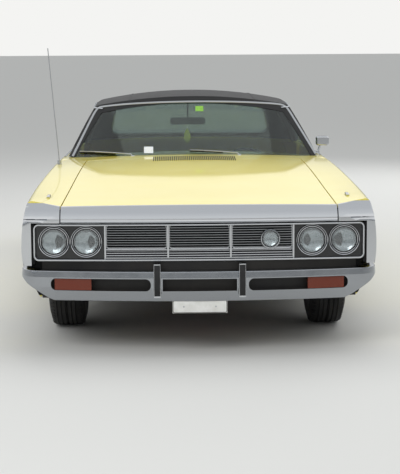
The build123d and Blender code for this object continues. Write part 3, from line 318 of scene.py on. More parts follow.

# %% Black finishes: chassis paint, rubber, plastic, carpet and the painted shade behind the grille
# Brushed chassis paint: dull black that road dust turns brown in places.
chassis_black = finish("chassis_paint_black", "#1C1C1D", 0.55, shades=(0.15, "#151516", "#2A2723", 6.0),
                       grain=(0.01, 0.2, 0.001))
# Moulded rubber: matt, greyish black with a fine skin, drawn at 3 mm to show.
guard_rubber = finish("moulded_rubber_black", "#19191A", 0.62, shades=(0.05, "#141415", "#222223"),
                      grain=(0.003, 0.3, 0.0005))
# Padded vinyl: soft black with a dry grain that keeps glare off the glass.
dash_plastic = finish("padded_vinyl_black", "#17171A", 0.55, shades=(0.2, "#131315", "#202023"),
                      grain=(0.003, 0.5, 0.0008), Sheen_Weight=0.1)
# Dark argent paint: grey with a metal glint. Gloss black makes depth behind it, and the flat black is painted shade,
# put where the real car shows only shadow: behind the grille, round the lamp lenses, in the louvres and beside the
# nose.
grille_paint = finish("argent_paint_dark", "#3A3C3F", 0.38, 0.6, shades=(0.06, "#303235", "#46484B"))
panel_black = finish("gloss_paint_black", "#17181A", 0.25, shades=(0.06, "#121315", "#1E1F22"), Coat_Weight=0.4)
shadow_paint = finish("painted_shade_black", "#0B0B0C", 0.8, shades=(0.06, "#080809", "#121213"))
# Loop carpet: the deepest, driest black, with a rough pile.
carpet = finish("loop_carpet_black", "#161617", 0.95, shades=(0.01, "#0F0F10", "#232324", 4.0),
                grain=(0.004, 0.9, 0.002), Sheen_Weight=0.3)
# Tyre rubber: dark grey-black and dull, a little dusty.
tyre_rubber = finish("tyre_rubber", "#1B1B1C", 0.72, shades=(0.08, "#161617", "#262524"), grain=(0.003, 0.3, 0.0006))

# %% Metals of the engine, the underside and the small trim
# Engine enamel: a brick red with a modest gloss.
engine_enamel = finish("engine_enamel_red", "#8C2B16", 0.4, shades=(0.06, "#7C2411", "#9A3520"), Coat_Weight=0.3)
# Aluminised steel: pale grey metal that heat and road salt stain brown.
exhaust_steel = finish("aluminised_steel", "#6B655D", 0.45, 0.9, shades=(0.09, "#4D4238", "#7B766F", 6.0))
# Forged iron: a dark, rough metal skin.
forged_iron = finish("forged_iron_dark", "#34312E", 0.6, 0.7, shades=(0.03, "#2A2724", "#453D34", 5.0))
# Brushed stainless steel: bright, with fine streaks that run along the piece.
along_x = (0.1, 1, 1)
wiper_steel = finish("brushed_stainless_steel", "#BFC1C3", 0.32, 1.0, haze=(0.01, 0.22, 0.42, 3.0, along_x))

# %% Plates, card and stickers
# Stoved enamel on pressed sheet: off-white with a low gloss.
plate_white = finish("pressed_plate_enamel", "#E6E6E2", 0.4, shades=(0.05, "#DADAD4", "#EDEDEA"))
# Printed card and vinyl film: flat, even colours with hardly any shine.
fresh_card = finish("printed_card_lime", "#E2E63C", 0.6, shades=(0.01, "#E9EE3A", "#FAFD5E"))
white_film = finish("vinyl_film_white", "#E3E6E4", 0.5, shades=(0.01, "#D6DAD8", "#ECEEEC"))
green_film = finish("vinyl_film_green", "#7FB63A", 0.5, shades=(0.01, "#72A833", "#8CC246"))

# %% [markdown]
# ## Sheet-metal panels
# The frame's panels have the right shapes, but their surfaces are loose flat triangles. Each gets a merged
# copy whose normals run on smoothly over the curves and break only at real folds, so the enamel's
# highlights flow. The copy stands for the frame's panel and rides on the same body.


# %% Smooth copies of the panels
fold_angle = 28.0


def smooth_copy(node, material, name=None):
    """A merged, smoothly shaded copy of a frame node that stands for it."""
    mesh = frame["nodes"][node].data.copy()
    shape = bmesh.new()
    shape.from_mesh(mesh)
    bmesh.ops.remove_doubles(shape, verts=shape.verts, dist=1e-5)
    bmesh.ops.dissolve_degenerate(shape, edges=shape.edges, dist=1e-6)
    shape.to_mesh(mesh)
    shape.free()
    piece = make_object(name or f"{node}_skin", mesh, material, carrier(node), fold_angle)
    weights = piece.modifiers.new("even_normals", "WEIGHTED_NORMAL")
    weights.keep_sharp = True
    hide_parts(node)


painted = ["hood", "fender_left", "fender_right", "quarter_left", "quarter_right", "door_left", "door_right",
           "trunk_lid", "cowl"]
for material, slot, nodes in (
        (body_enamel, "body_paint", painted), (body_enamel, "tail_paint", ["tail_panel"]),
        (chrome, "chrome", ["fender_caps", "door_handle_left", "door_handle_right", "door_mirror"]),
        (worn_chrome, "chrome", ["front_bumper", "rear_bumper"]), (roof_vinyl, "roof_vinyl", ["roof"]),
        (window_glass, "window_glass",
         ["windscreen", "rear_window", "quarter_glass", "door_glass_left", "door_glass_right"])):
    for node in nodes:
        smooth_copy(node, material)
print("painted panels", len(painted))

# %% [markdown]
# ## Repeats with Geometry Nodes
# Grille bars, louvres, tread blocks and fins all repeat one small shape at an even step, in a line or
# round an axle. One node tree does both: it lays points in a line, turns the shape a little more at each
# one, makes the copies real and gives them their finish. The result is then turned to plain mesh.


# %% The repeating tree
def repeating_tree():
    """A node tree that repeats a shape at even steps and turns."""
    tree = bpy.data.node_groups.new("repeat_shape", "GeometryNodeTree")
    made = tree.interface.new_socket
    sockets = {}
    for name, kind in (("Shape", "NodeSocketObject"), ("Count", "NodeSocketInt"), ("Start", "NodeSocketVector"),
                       ("Step", "NodeSocketVector"), ("Turn", "NodeSocketVector"), ("Finish", "NodeSocketMaterial")):
        sockets[name] = made(name=name, in_out="INPUT", socket_type=kind).identifier
    made(name="Mesh", in_out="OUTPUT", socket_type="NodeSocketGeometry")
    given = tree.nodes.new("NodeGroupInput").outputs
    line = add_node(tree, "GeometryNodeMeshLine", [("Count", given["Count"]), ("Start Location", given["Start"]),
                                                   ("Offset", given["Step"])])
    shape = add_node(tree, "GeometryNodeObjectInfo", [("Object", given["Shape"])])
    index = add_node(tree, "GeometryNodeInputIndex").outputs[0]
    angle = add_node(tree, "ShaderNodeVectorMath", [(0, given["Turn"])], operation="SCALE")
    tree.links.new(index, angle.inputs["Scale"])
    spread = add_node(tree, "GeometryNodeInstanceOnPoints", [("Points", line.outputs[0]),
                      ("Instance", shape.outputs["Geometry"]), ("Rotation", angle.outputs[0])])
    solid = add_node(tree, "GeometryNodeRealizeInstances", [("Geometry", spread.outputs[0])])
    painted = add_node(tree, "GeometryNodeSetMaterial", [("Geometry", solid.outputs[0]),
                                                         ("Material", given["Finish"])])
    out = tree.nodes.new("NodeGroupOutput")
    tree.links.new(painted.outputs[0], out.inputs[0])
    return tree, sockets


repeat_tree, repeat_sockets = repeating_tree()


def repeat_mesh(shape_mesh, count, material, start=(0, 0, 0), step=(0, 0, 0), turn=(0, 0, 0)):
    """The plain mesh of a shape repeated by the tree."""
    shape = bpy.data.objects.new("repeated_shape", shape_mesh)
    host = bpy.data.objects.new("repeat_host", bpy.data.meshes.new("repeat_host"))
    for piece in (shape, host):
        bpy.context.scene.collection.objects.link(piece)
    modifier = host.modifiers.new("repeat", "NODES")
    modifier.node_group = repeat_tree
    for key, value in (("Shape", shape), ("Count", count), ("Start", start), ("Step", step), ("Turn", turn),
                       ("Finish", material)):
        modifier[repeat_sockets[key]] = value
    depsgraph = bpy.context.evaluated_depsgraph_get()
    mesh = bpy.data.meshes.new_from_object(host.evaluated_get(depsgraph))
    bpy.data.objects.remove(shape)
    bpy.data.objects.remove(host)
    return mesh


# %% [markdown]
# ## Sweeps and turned shapes
# Bright mouldings are one small section carried along a line, and lamps and wheels are profiles turned
# about an axis. Both are made point by point, so that every ring of points is where it should be.


# %% Sweep, turned shape and section
def rounded_section(width, height, corner, steps=3):
    """A rounded rectangle about the middle, as (a, b) points."""
    points = []
    for cx, cy, first in ((1, 1, 0), (-1, 1, 90), (-1, -1, 180), (1, -1, 270)):
        for i in range(steps + 1):
            angle = math.radians(first + 90 * i / steps)
            points.append((cx * (width / 2 - corner) + corner * math.cos(angle),
                           cy * (height / 2 - corner) + corner * math.sin(angle)))
    return points


def sweep(path, section, closed=False, up=(0, 0, 1)):
    """A section carried along a path. Its first axis points sideways and its second along up."""
    path = [Vector(point) for point in path]
    points, faces = [], []
    count, ring = len(path), len(section)
    for i, point in enumerate(path):
        ahead = path[(i + 1) % count] if closed or i < count - 1 else point
        behind = path[i - 1] if closed or i > 0 else point
        along = (ahead - behind).normalized()
        sideways = along.cross(Vector(up)).normalized()
        upright = sideways.cross(along)
        points += [point + sideways * a + upright * b for a, b in section]
    for i in range(count if closed else count - 1):
        j = (i + 1) % count
        faces += [(i * ring + k, i * ring + (k + 1) % ring, j * ring + (k + 1) % ring, j * ring + k)
                  for k in range(ring)]
    if not closed:
        faces += [tuple(range(ring)), tuple(range((count - 1) * ring, count * ring))]
    return mesh_from(points, faces)


def strip(path, width, height, corner, steps=3, closed=False, up=(0, 0, 1)):
    """A rounded rectangle carried along a path."""
    return sweep(path, rounded_section(width, height, corner, steps), closed, up)


def turned(profile, centre, axis="Y", segments=48, closed=True):
    """A profile of (radius, along) points turned about an axis through centre."""
    points, faces, count = [], [], len(profile)
    for i in range(segments):
        angle = 2 * math.pi * i / segments
        for radius, along in profile:
            a, b = radius * math.cos(angle), radius * math.sin(angle)
            offset = {"X": (along, a, b), "Y": (a, along, b), "Z": (a, b, along)}[axis]
            points.append(Vector(centre) + Vector(offset))
    for i in range(segments):
        j = (i + 1) % segments
        for k in range(count if closed else count - 1):
            faces.append((i * count + k, i * count + (k + 1) % count, j * count + (k + 1) % count, j * count + k))
    return mesh_from(points, faces)


def smooth_line(points, steps=8):
    """A smooth line through points, with steps between neighbours."""
    points = [Vector(point) for point in points]
    ends = [2 * points[0] - points[1]] + points + [2 * points[-1] - points[-2]]
    line = []
    for a, b, c, d in zip(ends, ends[1:], ends[2:], ends[3:]):
        for i in range(steps):
            t = i / steps
            line.append(0.5 * (2 * b + (c - a) * t + (2 * a - 5 * b + 4 * c - d) * t * t
                               + (3 * b - 3 * c + d - a) * t ** 3))
    return line + [points[-1]]


# %% [markdown]
# ## The nose's bow
# Everything across the nose follows one large circle seen from above, whose middle leads its ends by about
# 6 cm. One function gives how far back the nose lies at any distance from the centre line.

# %% Bow of the nose
nose_y = -2.756
nose_radius = 9.5174


def bow(x):
    """How far back the nose lies at a distance from the middle."""
    return nose_radius - math.sqrt(nose_radius ** 2 - x * x)


def across(half, y, z, steps=40, start=None):
    """Points across the nose at a height."""
    first = -half if start is None else start
    return [(first + (half - first) * i / steps, y + bow(first + (half - first) * i / steps), z)
            for i in range(steps + 1)]


# %% [markdown]
# ## Grille
# A bright frame runs round the whole opening, and four bright posts divide its middle into three bays. In
# each bay ten thin bars lie one above the other; below them a sill slopes forward with four finer bars on it.
# The bars are one bowed strip, repeated by the tree, over a nearly black sheet, which is painted shade for the dark
# inside of the grille. Each bar could be swept where it belongs, but with the tree two numbers set their number and
# pitch.

# %% Grille frame and posts
grille_half, grille_low, grille_high = 0.92, 0.529, 0.735
grille_y = nose_y + 0.014
inset, longest_step = 0.005, 0.05
middle_z = (grille_high + grille_low) / 2
ring = rounded_section(2 * (grille_half - inset), grille_high - grille_low - 2 * inset, 0.025, 6)
frame_path = []
for (x, b), (next_x, next_b) in zip(ring, ring[1:] + ring[:1]):
    steps = max(1, int(abs(next_x - x) / longest_step))
    frame_path += [(x + (next_x - x) * k / steps, b + (next_b - b) * k / steps) for k in range(steps)]
frame_path = [(x, grille_y + 0.012 + bow(x), middle_z + b) for x, b in frame_path]
fit("grille_frame", strip(frame_path, 0.010, 0.030, 0.0035, closed=True, up=(0, -1, 0)), chrome)
posts = []
for x in (-0.521, -0.1735, 0.1735, 0.521):
    y = grille_y + bow(x)
    post_path = [(x, y + 0.016, 0.535), (x, y + 0.010, 0.592), (x, y + 0.010, 0.730)]
    posts.append(strip(post_path, 0.011, 0.022, 0.003, up=(0, -1, 0)))
fit("grille_posts", posts, chrome)
print("grille frame points", len(frame_path))

# %% Grille bars by the tree
bar_section = [(-0.016, -0.0012), (-0.0165, 0.0), (-0.016, 0.0014), (0.016, 0.0026), (0.016, -0.0026)]
bar_half, bar_count, lowest_bar, bar_pitch = 0.519, 10, 0.6035, 0.0136
bar = sweep(across(bar_half, grille_y + 0.030, 0.0, 24), bar_section)
bars = repeat_mesh(bar, bar_count, grille_paint, start=(0, 0, lowest_bar), step=(0, 0, bar_pitch))
edge = strip(across(bar_half, grille_y + 0.0128, 0.0, 24), 0.003, 0.0022, 0.0008, 2)
edges = repeat_mesh(edge, bar_count, wiper_steel, start=(0, 0, lowest_bar), step=(0, 0, bar_pitch))
grille_bars = fit("grille_bars", bars, None, node="grille")
fit("grille_bar_edges", edges, None)
print("bar triangles", len(grille_bars.data.polygons))

# %% Backing, sloping sill and its fine bars
back_section = [(-0.003, -0.100), (0.003, -0.100), (0.003, 0.100), (-0.003, 0.100)]
# The sheet behind the bars is flat black: painted shade for the dark inside of the grille.
shade_backing = sweep(across(0.914, grille_y + 0.048, middle_z, 30), back_section)
sill_section = [(-0.030, 0.032), (0.020, -0.020), (0.020, -0.027), (-0.030, -0.027)]
sill = sweep(across(bar_half, grille_y + 0.022, 0.563, 30), sill_section)
fine_bar = strip(across(bar_half, 0.0, 0.0, 24), 0.004, 0.005, 0.0015, 2)
fine = repeat_mesh(fine_bar, 4, chrome, start=(0, grille_y + 0.001, 0.547), step=(0, 0.0105, 0.0118))
lip_bar = strip(across(bar_half, grille_y + 0.010, 0.5935, 30), 0.012, 0.006, 0.002)
fit("grille_back", shade_backing, shadow_paint, angle=30)
fit("grille_sill", sill, grille_paint, angle=30)
fit("grille_sill_bars", fine, None)
fit("grille_lip", lip_bar, chrome)

# %% A bead round each bay
beads = []
for low_x, high_x in ((-0.513, -0.1815), (-0.1655, 0.1655), (0.1815, 0.513)):
    bead_path = []
    for a, b in rounded_section(high_x - low_x, 0.131, 0.016, 4):
        x = (low_x + high_x) / 2 + a
        bead_path.append((x, grille_y + 0.0105 + bow(x), 0.6635 + b))
    beads.append(strip(bead_path, 0.0045, 0.006, 0.002, 2, closed=True, up=(0, -1, 0)))
fit("bay_beads", beads, chrome)

# %% [markdown]
# ## Head lamps
# Each lamp is a sealed beam of pressed glass with fine upright flutes, in a bright retaining ring inside a
# second, wider bright ring, on a dark panel. The rings are turned profiles. The glass is a dome whose flutes
# are real waves in its mesh, over a silvered bowl. A bump could fake the flutes, but real waves also show at
# the rim and from the side.


# %% Lamp rings, lenses and bowls
def fluted_lens(face, sunk, radius, dome, pitch):
    """A domed lens with upright flutes, sunk a little behind its ring's face."""
    x, y, z = face[0], face[1] + sunk, face[2]
    points, faces, rings, segments = [(x, y - dome, z)], [], 12, 56
    for i in range(1, rings + 1):
        r = radius * i / rings
        for k in range(segments):
            angle = 2 * math.pi * k / segments
            a, b = r * math.cos(angle), r * math.sin(angle)
            flute = 0.0007 * math.cos(2 * math.pi * a / pitch) * (1 if i < rings else 0)
            points.append((x + a, y - dome * (1 - (r / radius) ** 2) + flute, z + b))
    last, rim = 1 + (rings - 1) * segments, len(points)
    points += [(px, y + 0.004, pz) for px, _, pz in points[last:rim]]
    for k in range(segments):
        n = (k + 1) % segments
        faces.append((0, 1 + k, 1 + n))
        faces += [(1 + i * segments + k, 1 + (i + 1) * segments + k, 1 + (i + 1) * segments + n,
                   1 + i * segments + n) for i in range(rings - 1)]
        faces.append((last + k, rim + k, rim + n, last + n))
    faces.append(tuple(rim + k for k in range(segments)))
    return mesh_from(points, faces)


outer = [(0.0873, 0.020), (0.0873, 0.001), (0.0865, -0.0004), (0.0845, 0.0004), (0.0826, 0.003), (0.0822, 0.020)]
inner = [(0.0785, 0.018), (0.0782, 0.0030), (0.0772, 0.0012), (0.0740, 0.0018), (0.0722, 0.006), (0.0720, 0.018)]
# The collar between the rings is flat black: painted shade of the recess round each lens.
collar = [(0.0821, 0.019), (0.0821, 0.009), (0.0772, 0.007), (0.0735, 0.010), (0.0692, 0.008), (0.0692, 0.019)]
bowl = [(0.0, 0.019), (0.040, 0.018), (0.060, 0.013), (0.0686, 0.0095), (0.0686, 0.0205), (0.0, 0.0205)]
small_ring = [(0.0538, 0.018), (0.0538, 0.0025), (0.0525, 0.0003), (0.0495, 0.0), (0.0455, 0.005), (0.0445, 0.018)]
small_bowl = [(0.0, 0.017), (0.036, 0.012), (0.0438, 0.008), (0.0438, 0.019), (0.0, 0.019)]
rings, collars, bowls, lenses = [], [], [], []
for x in (-0.805, -0.626, 0.626, 0.805):
    face = (x, nose_y + 0.020 + bow(x), 0.637)
    rings += [turned(profile, face, segments=64) for profile in (outer, inner)]
    collars.append(turned(collar, face, segments=56))
    bowls.append(turned(bowl, face, segments=40))
    lenses.append(fluted_lens(face, 0.0062, 0.0688, 0.011, 0.0062))
face = (0.392, nose_y + 0.004 + bow(0.392), 0.649)
rings.append(turned(small_ring, face, segments=56))
bowls.append(turned(small_bowl, face, segments=40))
lenses.append(fluted_lens(face, 0.0055, 0.0440, 0.007, 0.0055))
fit("lamp_ring_set", rings, chrome, angle=35, node="lamp_rings")
fit("lamp_collars", collars, shadow_paint, angle=35)
fit("lamp_bowls", bowls, bowl_silver, angle=35)
fit("lamp_glass", lenses, clear_lens, node="lamp_lenses")

# %% Dark panels behind the lamps
panel_section = [(-0.0085, -0.094), (0.0085, -0.094), (0.0085, 0.094), (-0.0085, 0.094)]
panels = []
for side in (-1, 1):
    first, last = sorted((side * 0.526, side * 0.911))
    panels.append(sweep(across(last, nose_y + 0.0478, middle_z, 16, first), panel_section))
fit("lamp_panels", panels, panel_black, angle=30)

# %% [markdown]
# ## Pieces laid on the panels
# The dark sheets of painted shade by the nose, the hood's lip, the louvres and the indicators all follow the painted
# panels. Their places are found by sending rays onto the frame's nodes. Each louvre is a narrow slot, drawn as a
# flat black strip of painted shade, with a small raised blade, repeated by the tree on the hood's arch. Typed-in
# heights would do too, but rays keep each piece on its panel's own curve.


# %% Find places on the panels
def surface_tree(*nodes):
    """A tree for rays onto several nodes."""
    points, faces = [], []
    for node in nodes:
        mesh = frame["nodes"][node].data
        first = len(points)
        points += [vertex.co.copy() for vertex in mesh.vertices]
        faces += [[first + index for index in polygon.vertices] for polygon in mesh.polygons]
    return BVHTree.FromPolygons(points, faces)


def hit(tree, start, aim):
    """Where a ray first meets the surface."""
    return tree.ray_cast(Vector(start), Vector(aim))[0]


def drop(tree, x, y):
    """The highest point of the surface at a place in plan."""
    return hit(tree, (x, y, 3.0), (0, 0, -1))


def side_hit(tree, y, z, side):
    """Where a level ray from one side meets the surface."""
    return hit(tree, (side * 1.5, y, z), (-side, 0, 0))


def lifted(places, offset):
    """The places that a ray found, each moved a little off the surface."""
    return [place + Vector(offset) for place in places if place]


top_tree = surface_tree("hood", "cowl", "fender_left", "fender_right", "quarter_left", "quarter_right",
                        "trunk_lid", "roof")

# %% Dark sheets of painted shade beside and below the grille
nose_tree = surface_tree("fender_left", "fender_right")
# Each sheet is flat black: painted shade that hides the fender's inner wall where the nose shows only shadow.
shade_sheet_y, shade_sheet_front, shade_sheet_back, shade_sheet_inner = grille_y + 0.030 + bow(0.92), -2.466, -2.458, 0.86
heights = [0.513 - 0.012 * i for i in range(20)]
shade_sheets = []
for side in (-1, 1):
    low_x, high_x = sorted((side * 0.9165, side * 0.9295))
    shade_sheets.append(strip([(low_x, shade_sheet_y, 0.622), (high_x, shade_sheet_y, 0.622)], 0.040, 0.226, 0.001, 1))
    found = [(side_hit(nose_tree, -2.452, z, side), z) for z in heights]
    outline = [(abs(place.x) - 0.001, z) for place, z in found if place]
    outline = [(shade_sheet_inner, outline[0][1])] + outline + [(shade_sheet_inner, outline[-1][1])]
    shade_sheets.append(slab(*([(side * x, y, z) for x, z in outline] for y in (shade_sheet_front, shade_sheet_back))))
fit("nose_closers", shade_sheets, shadow_paint, angle=30)

# %% The hood's bright lip, from its own section
lip_arc = [(-2.756, 0.7665), (-2.7505, 0.7780), (-2.7440, 0.7892), (-2.7360, 0.8010), (-2.7265, 0.8130),
           (-2.7165, 0.8245), (-2.7060, 0.8355), (-2.6985, 0.8430), (-2.6925, 0.8480)]
lip_profile = [(-2.6925, 0.742), (-2.7535, 0.742), (-2.7560, 0.7445), (-2.7560, 0.7575), (-2.7550, 0.7590),
               (-2.7510, 0.7592), (-2.7510, 0.7655), (-2.7550, 0.7660)] + lip_arc
lip_half, lip_columns, lip_rows, behind = 0.765, 72, len(lip_profile), 0.08
points, faces = [], []
for i in range(lip_columns + 1):
    x = lip_half * (2 * i / lip_columns - 1)
    edge_y = -2.684 + bow(x)
    on_hood = max(-0.74, min(0.74, x))
    edge_z = drop(top_tree, on_hood, edge_y).z
    fall = (drop(top_tree, on_hood, edge_y + behind).z - edge_z) / behind
    points += [(x, y + bow(x), min(z, edge_z - fall * (edge_y - y - bow(x)))) for y, z in lip_profile]
for i in range(lip_columns):
    for k in range(lip_rows):
        n = (k + 1) % lip_rows
        faces.append((i * lip_rows + k, i * lip_rows + n, (i + 1) * lip_rows + n, (i + 1) * lip_rows + k))
faces += [tuple(range(lip_rows)), tuple(lip_columns * lip_rows + k for k in range(lip_rows))]
fit("bright_lip", mesh_from(points, faces), chrome, carrier("hood_lip"), node="hood_lip")
print("lip top", round(max(p[2] for p in points), 4))

# %% Louvres
louvre_count, louvre_pitch, louvre_y, louvre_half = 44, 0.0124, -1.215, 0.105
crown = drop(top_tree, 0.0, louvre_y)
slope = (drop(top_tree, 0.0, louvre_y + 0.07).z - drop(top_tree, 0.0, louvre_y - 0.07).z) / 0.14
arch_radius = 0.5 ** 2 / (2 * (crown.z - drop(top_tree, 0.5, louvre_y).z))
step_angle = louvre_pitch / arch_radius
aim = Matrix.Rotation(-step_angle * (louvre_count - 1) / 2, 4, "Y")
hub = (0, 0, crown.z - arch_radius)
for name, x, width, height, corner, material, slot in (
        # The slots are flat black strips: painted shade of the louvres' openings.
        ("slots", 0, 0.0062, 0.0030, 0.0005, shadow_paint, None),
        ("blades", 0.0045, 0.0030, 0.0056, 0.0012, body_enamel, "body_paint")):
    line = [(x, louvre_y + end, arch_radius + slope * end) for end in (-louvre_half, louvre_half)]
    shape = strip(line, width, height, corner, 2)
    shape.transform(aim)
    louvres = repeat_mesh(shape, louvre_count, material, start=hub, turn=(0, step_angle, 0))
    fit(f"hood_louvre_{name}", louvres, None, "hood")
print("louvres over", round(louvre_count * louvre_pitch, 2), "m")

# %% Indicators on top of the fenders
pods, pod_lights = [], []
for side in (-1, 1):
    front, top, rear = (drop(top_tree, side * 0.85, y) for y in (-2.49, -2.454, -2.41))
    lift = Vector((0, 0, 0.004))
    pods.append(strip([front + lift * 0.2, front.lerp(rear, 0.15) + lift, top + lift * 1.6,
                       front.lerp(rear, 0.85) + lift, rear + lift * 0.2], 0.020, 0.014, 0.006))
    pod_lights.append(strip([rear + lift * 0.6 - Vector((0, 0.008, 0)), rear + lift * 0.5 + Vector((0, 0.002, 0))],
                            0.013, 0.010, 0.004))
fit("fender_indicators", pods, chrome)
fit("indicator_lights", pod_lights, amber_lens)

# %% [markdown]
# ## Bright surrounds of the glass
# A rolled stainless moulding covers the edge of each pane. The windscreen's follows a line on its curved
# surface. At the back, rays are sent at the pane along spokes from its middle, and the last one that still
# hits it marks the edge. The moulding's section is swept through these points. The pane's edges could be
# picked from its mesh, but that mesh is loose triangles, so rays are surer.

# %% Mouldings round the windscreen and the rear window
middle_column, horizon_row = 171, 49.3
glass_foot_y, glass_foot_z, glass_lean, glass_bulge, glass_half = -1.068, 0.940, 1.324, 0.320, 0.9


def on_screen(column, row, proud=0.0):
    """The point of the windscreen's curved surface behind a place in the camera's picture."""
    y = -0.9
    for _ in range(30):
        distance = y - camera_place.y
        x = camera_place.x + (column - middle_column) * distance / focal_pixels
        z = camera_place.z - (row - horizon_row) * distance / focal_pixels
        y = glass_foot_y + glass_lean * (z - glass_foot_z) + glass_bulge * (x / glass_half) ** 2
    return Vector((x, y - 0.8 * proud, z + 0.6 * proud))


def rear_edge(middle_z, half_width, half_height, spokes=96):
    """Points round the edge of the rear window, seen from behind the car."""
    tree = surface_tree("rear_window")
    edge = []
    for k in range(spokes):
        angle = 2 * math.pi * k / spokes
        near, far, found = 0.0, 1.0, None
        for _ in range(22):
            t = (near + far) / 2
            start = (half_width * t * math.cos(angle), 4.0, middle_z + half_height * t * math.sin(angle))
            place = hit(tree, start, (0, -1, 0))
            if place:
                near, found = t, place
            else:
                far = t
        edge.append(found)
    return edge


screen_line = [(73.4, 155.5), (79.5, 143.5), (86.5, 130.0), (93.0, 117.5), (97.0, 110.6), (100.0, 107.6),
               (105.0, 106.0), (130.0, 103.6), (165.0, 102.1), (200.0, 101.7), (235.0, 102.2), (265.0, 103.6),
               (280.0, 105.0), (285.5, 107.0), (289.0, 110.5), (295.0, 120.0), (302.5, 132.0), (310.0, 144.0),
               (316.5, 154.6)]
screen_ring = smooth_line([on_screen(column, row, 0.004) for column, row in screen_line], 5)
screen_trim = strip(screen_ring, 0.017, 0.010, 0.004, up=(0, -0.65, 0.75))
rear_ring = lifted(rear_edge(1.17, 0.9, 0.26), (0, 0.004, 0.002))
rear_trim = strip(rear_ring, 0.022, 0.009, 0.004, closed=True, up=(0, 0.5, 0.85))
fit("windscreen_moulding", screen_trim, wiper_steel)
fit("rear_window_moulding", rear_trim, chrome)
print("windscreen width", round(max(p.x for p in screen_ring) - min(p.x for p in screen_ring), 3))

# %% Drip mouldings over the side windows
roof_tree = surface_tree("roof")
drip_line = []
for i in range(33):
    t = i / 32
    drip_line.append((-0.60 + 1.28 * t,
                      1.292 - 0.020 * (2 * t - 1) ** 2 - 0.55 * max(0.0, 0.10 - t) - 0.2 * max(0.0, t - 0.9)))
drips = []
for side in (-1, 1):
    line = [side_hit(roof_tree, y, z, side) for y, z in drip_line]
    drips.append(strip(lifted(line, (side * 0.003, 0, 0)), 0.010, 0.012, 0.003, up=(side * 0.8, 0, 0.6)))
fit("drip_mouldings", drips, chrome)

# %% [markdown]
# ## Side mouldings
# Thin bright strips run along the sill and round the wheel openings, and a wide one tops each door along the
# glass. Each is swept through points that level rays find on the panels, panel by panel, so that a door's
# strip swings with its door. A cut from the panel's own mesh would carry its ragged triangles along, and a
# sweep doesn't.

# %% Sill, belt and wheel-opening strips
sill_runs = {"fender": (-1.395, -0.968), "door": (-0.952, 0.482), "quarter": (0.498, 0.895)}
belt_runs = {"door": (-0.70, 0.482), "quarter": (0.498, 0.90)}
wheel_arches = {"fender": (-1.804, 0.401), "quarter": (1.295, 0.394)}
sill_z, belt_x, lowest_belt = 0.345, 0.884, 0.93
for side, name in ((1, "left"), (-1, "right")):
    fixed, on_door = [], []
    for panel in ("fender", "door", "quarter"):
        tree = surface_tree(f"{panel}_{name}")
        strips = on_door if panel == "door" else fixed
        first, last = sill_runs[panel]
        line = [side_hit(tree, first + (last - first) * i / 14, sill_z, side) for i in range(15)]
        strips.append(strip(lifted(line, (side * 0.0025, 0, 0)), 0.022, 0.008, 0.003, up=(side, 0, 0)))
        if panel in wheel_arches:
            axle_y, radius = wheel_arches[panel]
            turns = [math.radians(4 + 172 * i / 40) for i in range(41)]
            line = [side_hit(tree, axle_y + radius * math.cos(angle), sill_z + radius * math.sin(angle), side)
                    for angle in turns]
            strips.append(strip(lifted(line, (side * 0.002, 0, 0)), 0.010, 0.008, 0.003, up=(side, 0, 0)))
        if panel in belt_runs:
            first, last = belt_runs[panel]
            line = [drop(tree, side * belt_x, first + (last - first) * i / 24) for i in range(25)]
            line = [place for place in line if place and place.z > lowest_belt]
            strips.append(strip(lifted(line, (0, 0, 0.003)), 0.014, 0.007, 0.003))
    fit(f"side_mouldings_{name}", fixed, chrome)
    fit(f"door_mouldings_{name}", on_door, chrome, f"door_{name}")

# %% [markdown]
# ## Roof seams
# The vinyl is glued on in three strips. Their two welded seams run from the windscreen to the rear window as
# low, round ridges. A bump in the vinyl could draw them, but a swept ridge also shows against the light.

# %% Seams
seams = []
for side in (-1, 1):
    line = [drop(roof_tree, side * 0.44, -0.50 + 1.10 * i / 59) for i in range(60)]
    line = [place for place in line if place and place.z > 1.2]
    seams.append(strip(lifted(line, (0, 0, 0.0006)), 0.012, 0.0032, 0.0015))
fit("roof_seams", seams, roof_vinyl, angle=50)

# %% [markdown]
# ## Guards and plates
# Each upright guard is a bright casting with a rubber strip on its face. The plates are bare: pressed and
# painted sheet with a raised rim, held by two screws. A sweep of a rounded section gives a sheet its soft
# edges at once, without a bevel.

# %% Guards, plates and screws
smooth_copy("bumper_guards", chrome, "guard_castings")
strip_line = [(-2.7995, 0.341), (-2.8035, 0.345), (-2.8043, 0.430), (-2.8035, 0.513), (-2.7995, 0.517)]
strips = [strip([(x, y, z) for y, z in strip_line], 0.033, 0.0045, 0.002, up=(0, -1, 0)) for x in (-0.235, 0.235)]
fit("guard_strips", strips, guard_rubber)
screw_profile = [(0.0, 0.0022), (0.003, 0.0020), (0.0048, 0.0008), (0.0048, 0.0), (0.0, 0.0)]
for name, y, z, width, height, outward in (("front", -2.7600, 0.276, 0.304, 0.074, -1),
                                           ("rear", 2.7445, 0.700, 0.305, 0.152, 1)):
    sheet = strip([(-width / 2, y, z), (width / 2, y, z)], 0.002, height, 0.0009, 2)
    rim_path = [(a, y + outward * 0.0012, z + b) for a, b in rounded_section(width - 0.006, height - 0.006, 0.008)]
    rim = strip(rim_path, 0.0035, 0.002, 0.0008, 2, closed=True, up=(0, outward, 0))
    screws = [turned(screw_profile, (0, 0, 0), segments=16) for _ in range(2)]
    for screw, x in zip(screws, (-0.089, 0.089)):
        screw.transform(Matrix.Translation((x, y + outward * 0.001, z)) @ Matrix.Diagonal((1, outward, 1, 1)))
    fit(f"{name}_plate", sheet, plate_white, angle=30)
    fit(f"{name}_plate_rim", rim, guard_rubber)
    fit(f"{name}_plate_screws", edit_mesh(join_meshes(screws)), wiper_steel)

# %% [markdown]
# ## Tyres and wheel covers
# A tyre is its section turned about the axle: bulging sidewalls with fine ribs, and a tread with six grooves.
# The tree repeats a short slanted cut block round both shoulders. The cover is a shallow bright dish with a
# ring of fins and a domed middle, pressed from one sheet. A tread drawn by the material would stay flat, and
# turned grooves show in the tyre's outline.

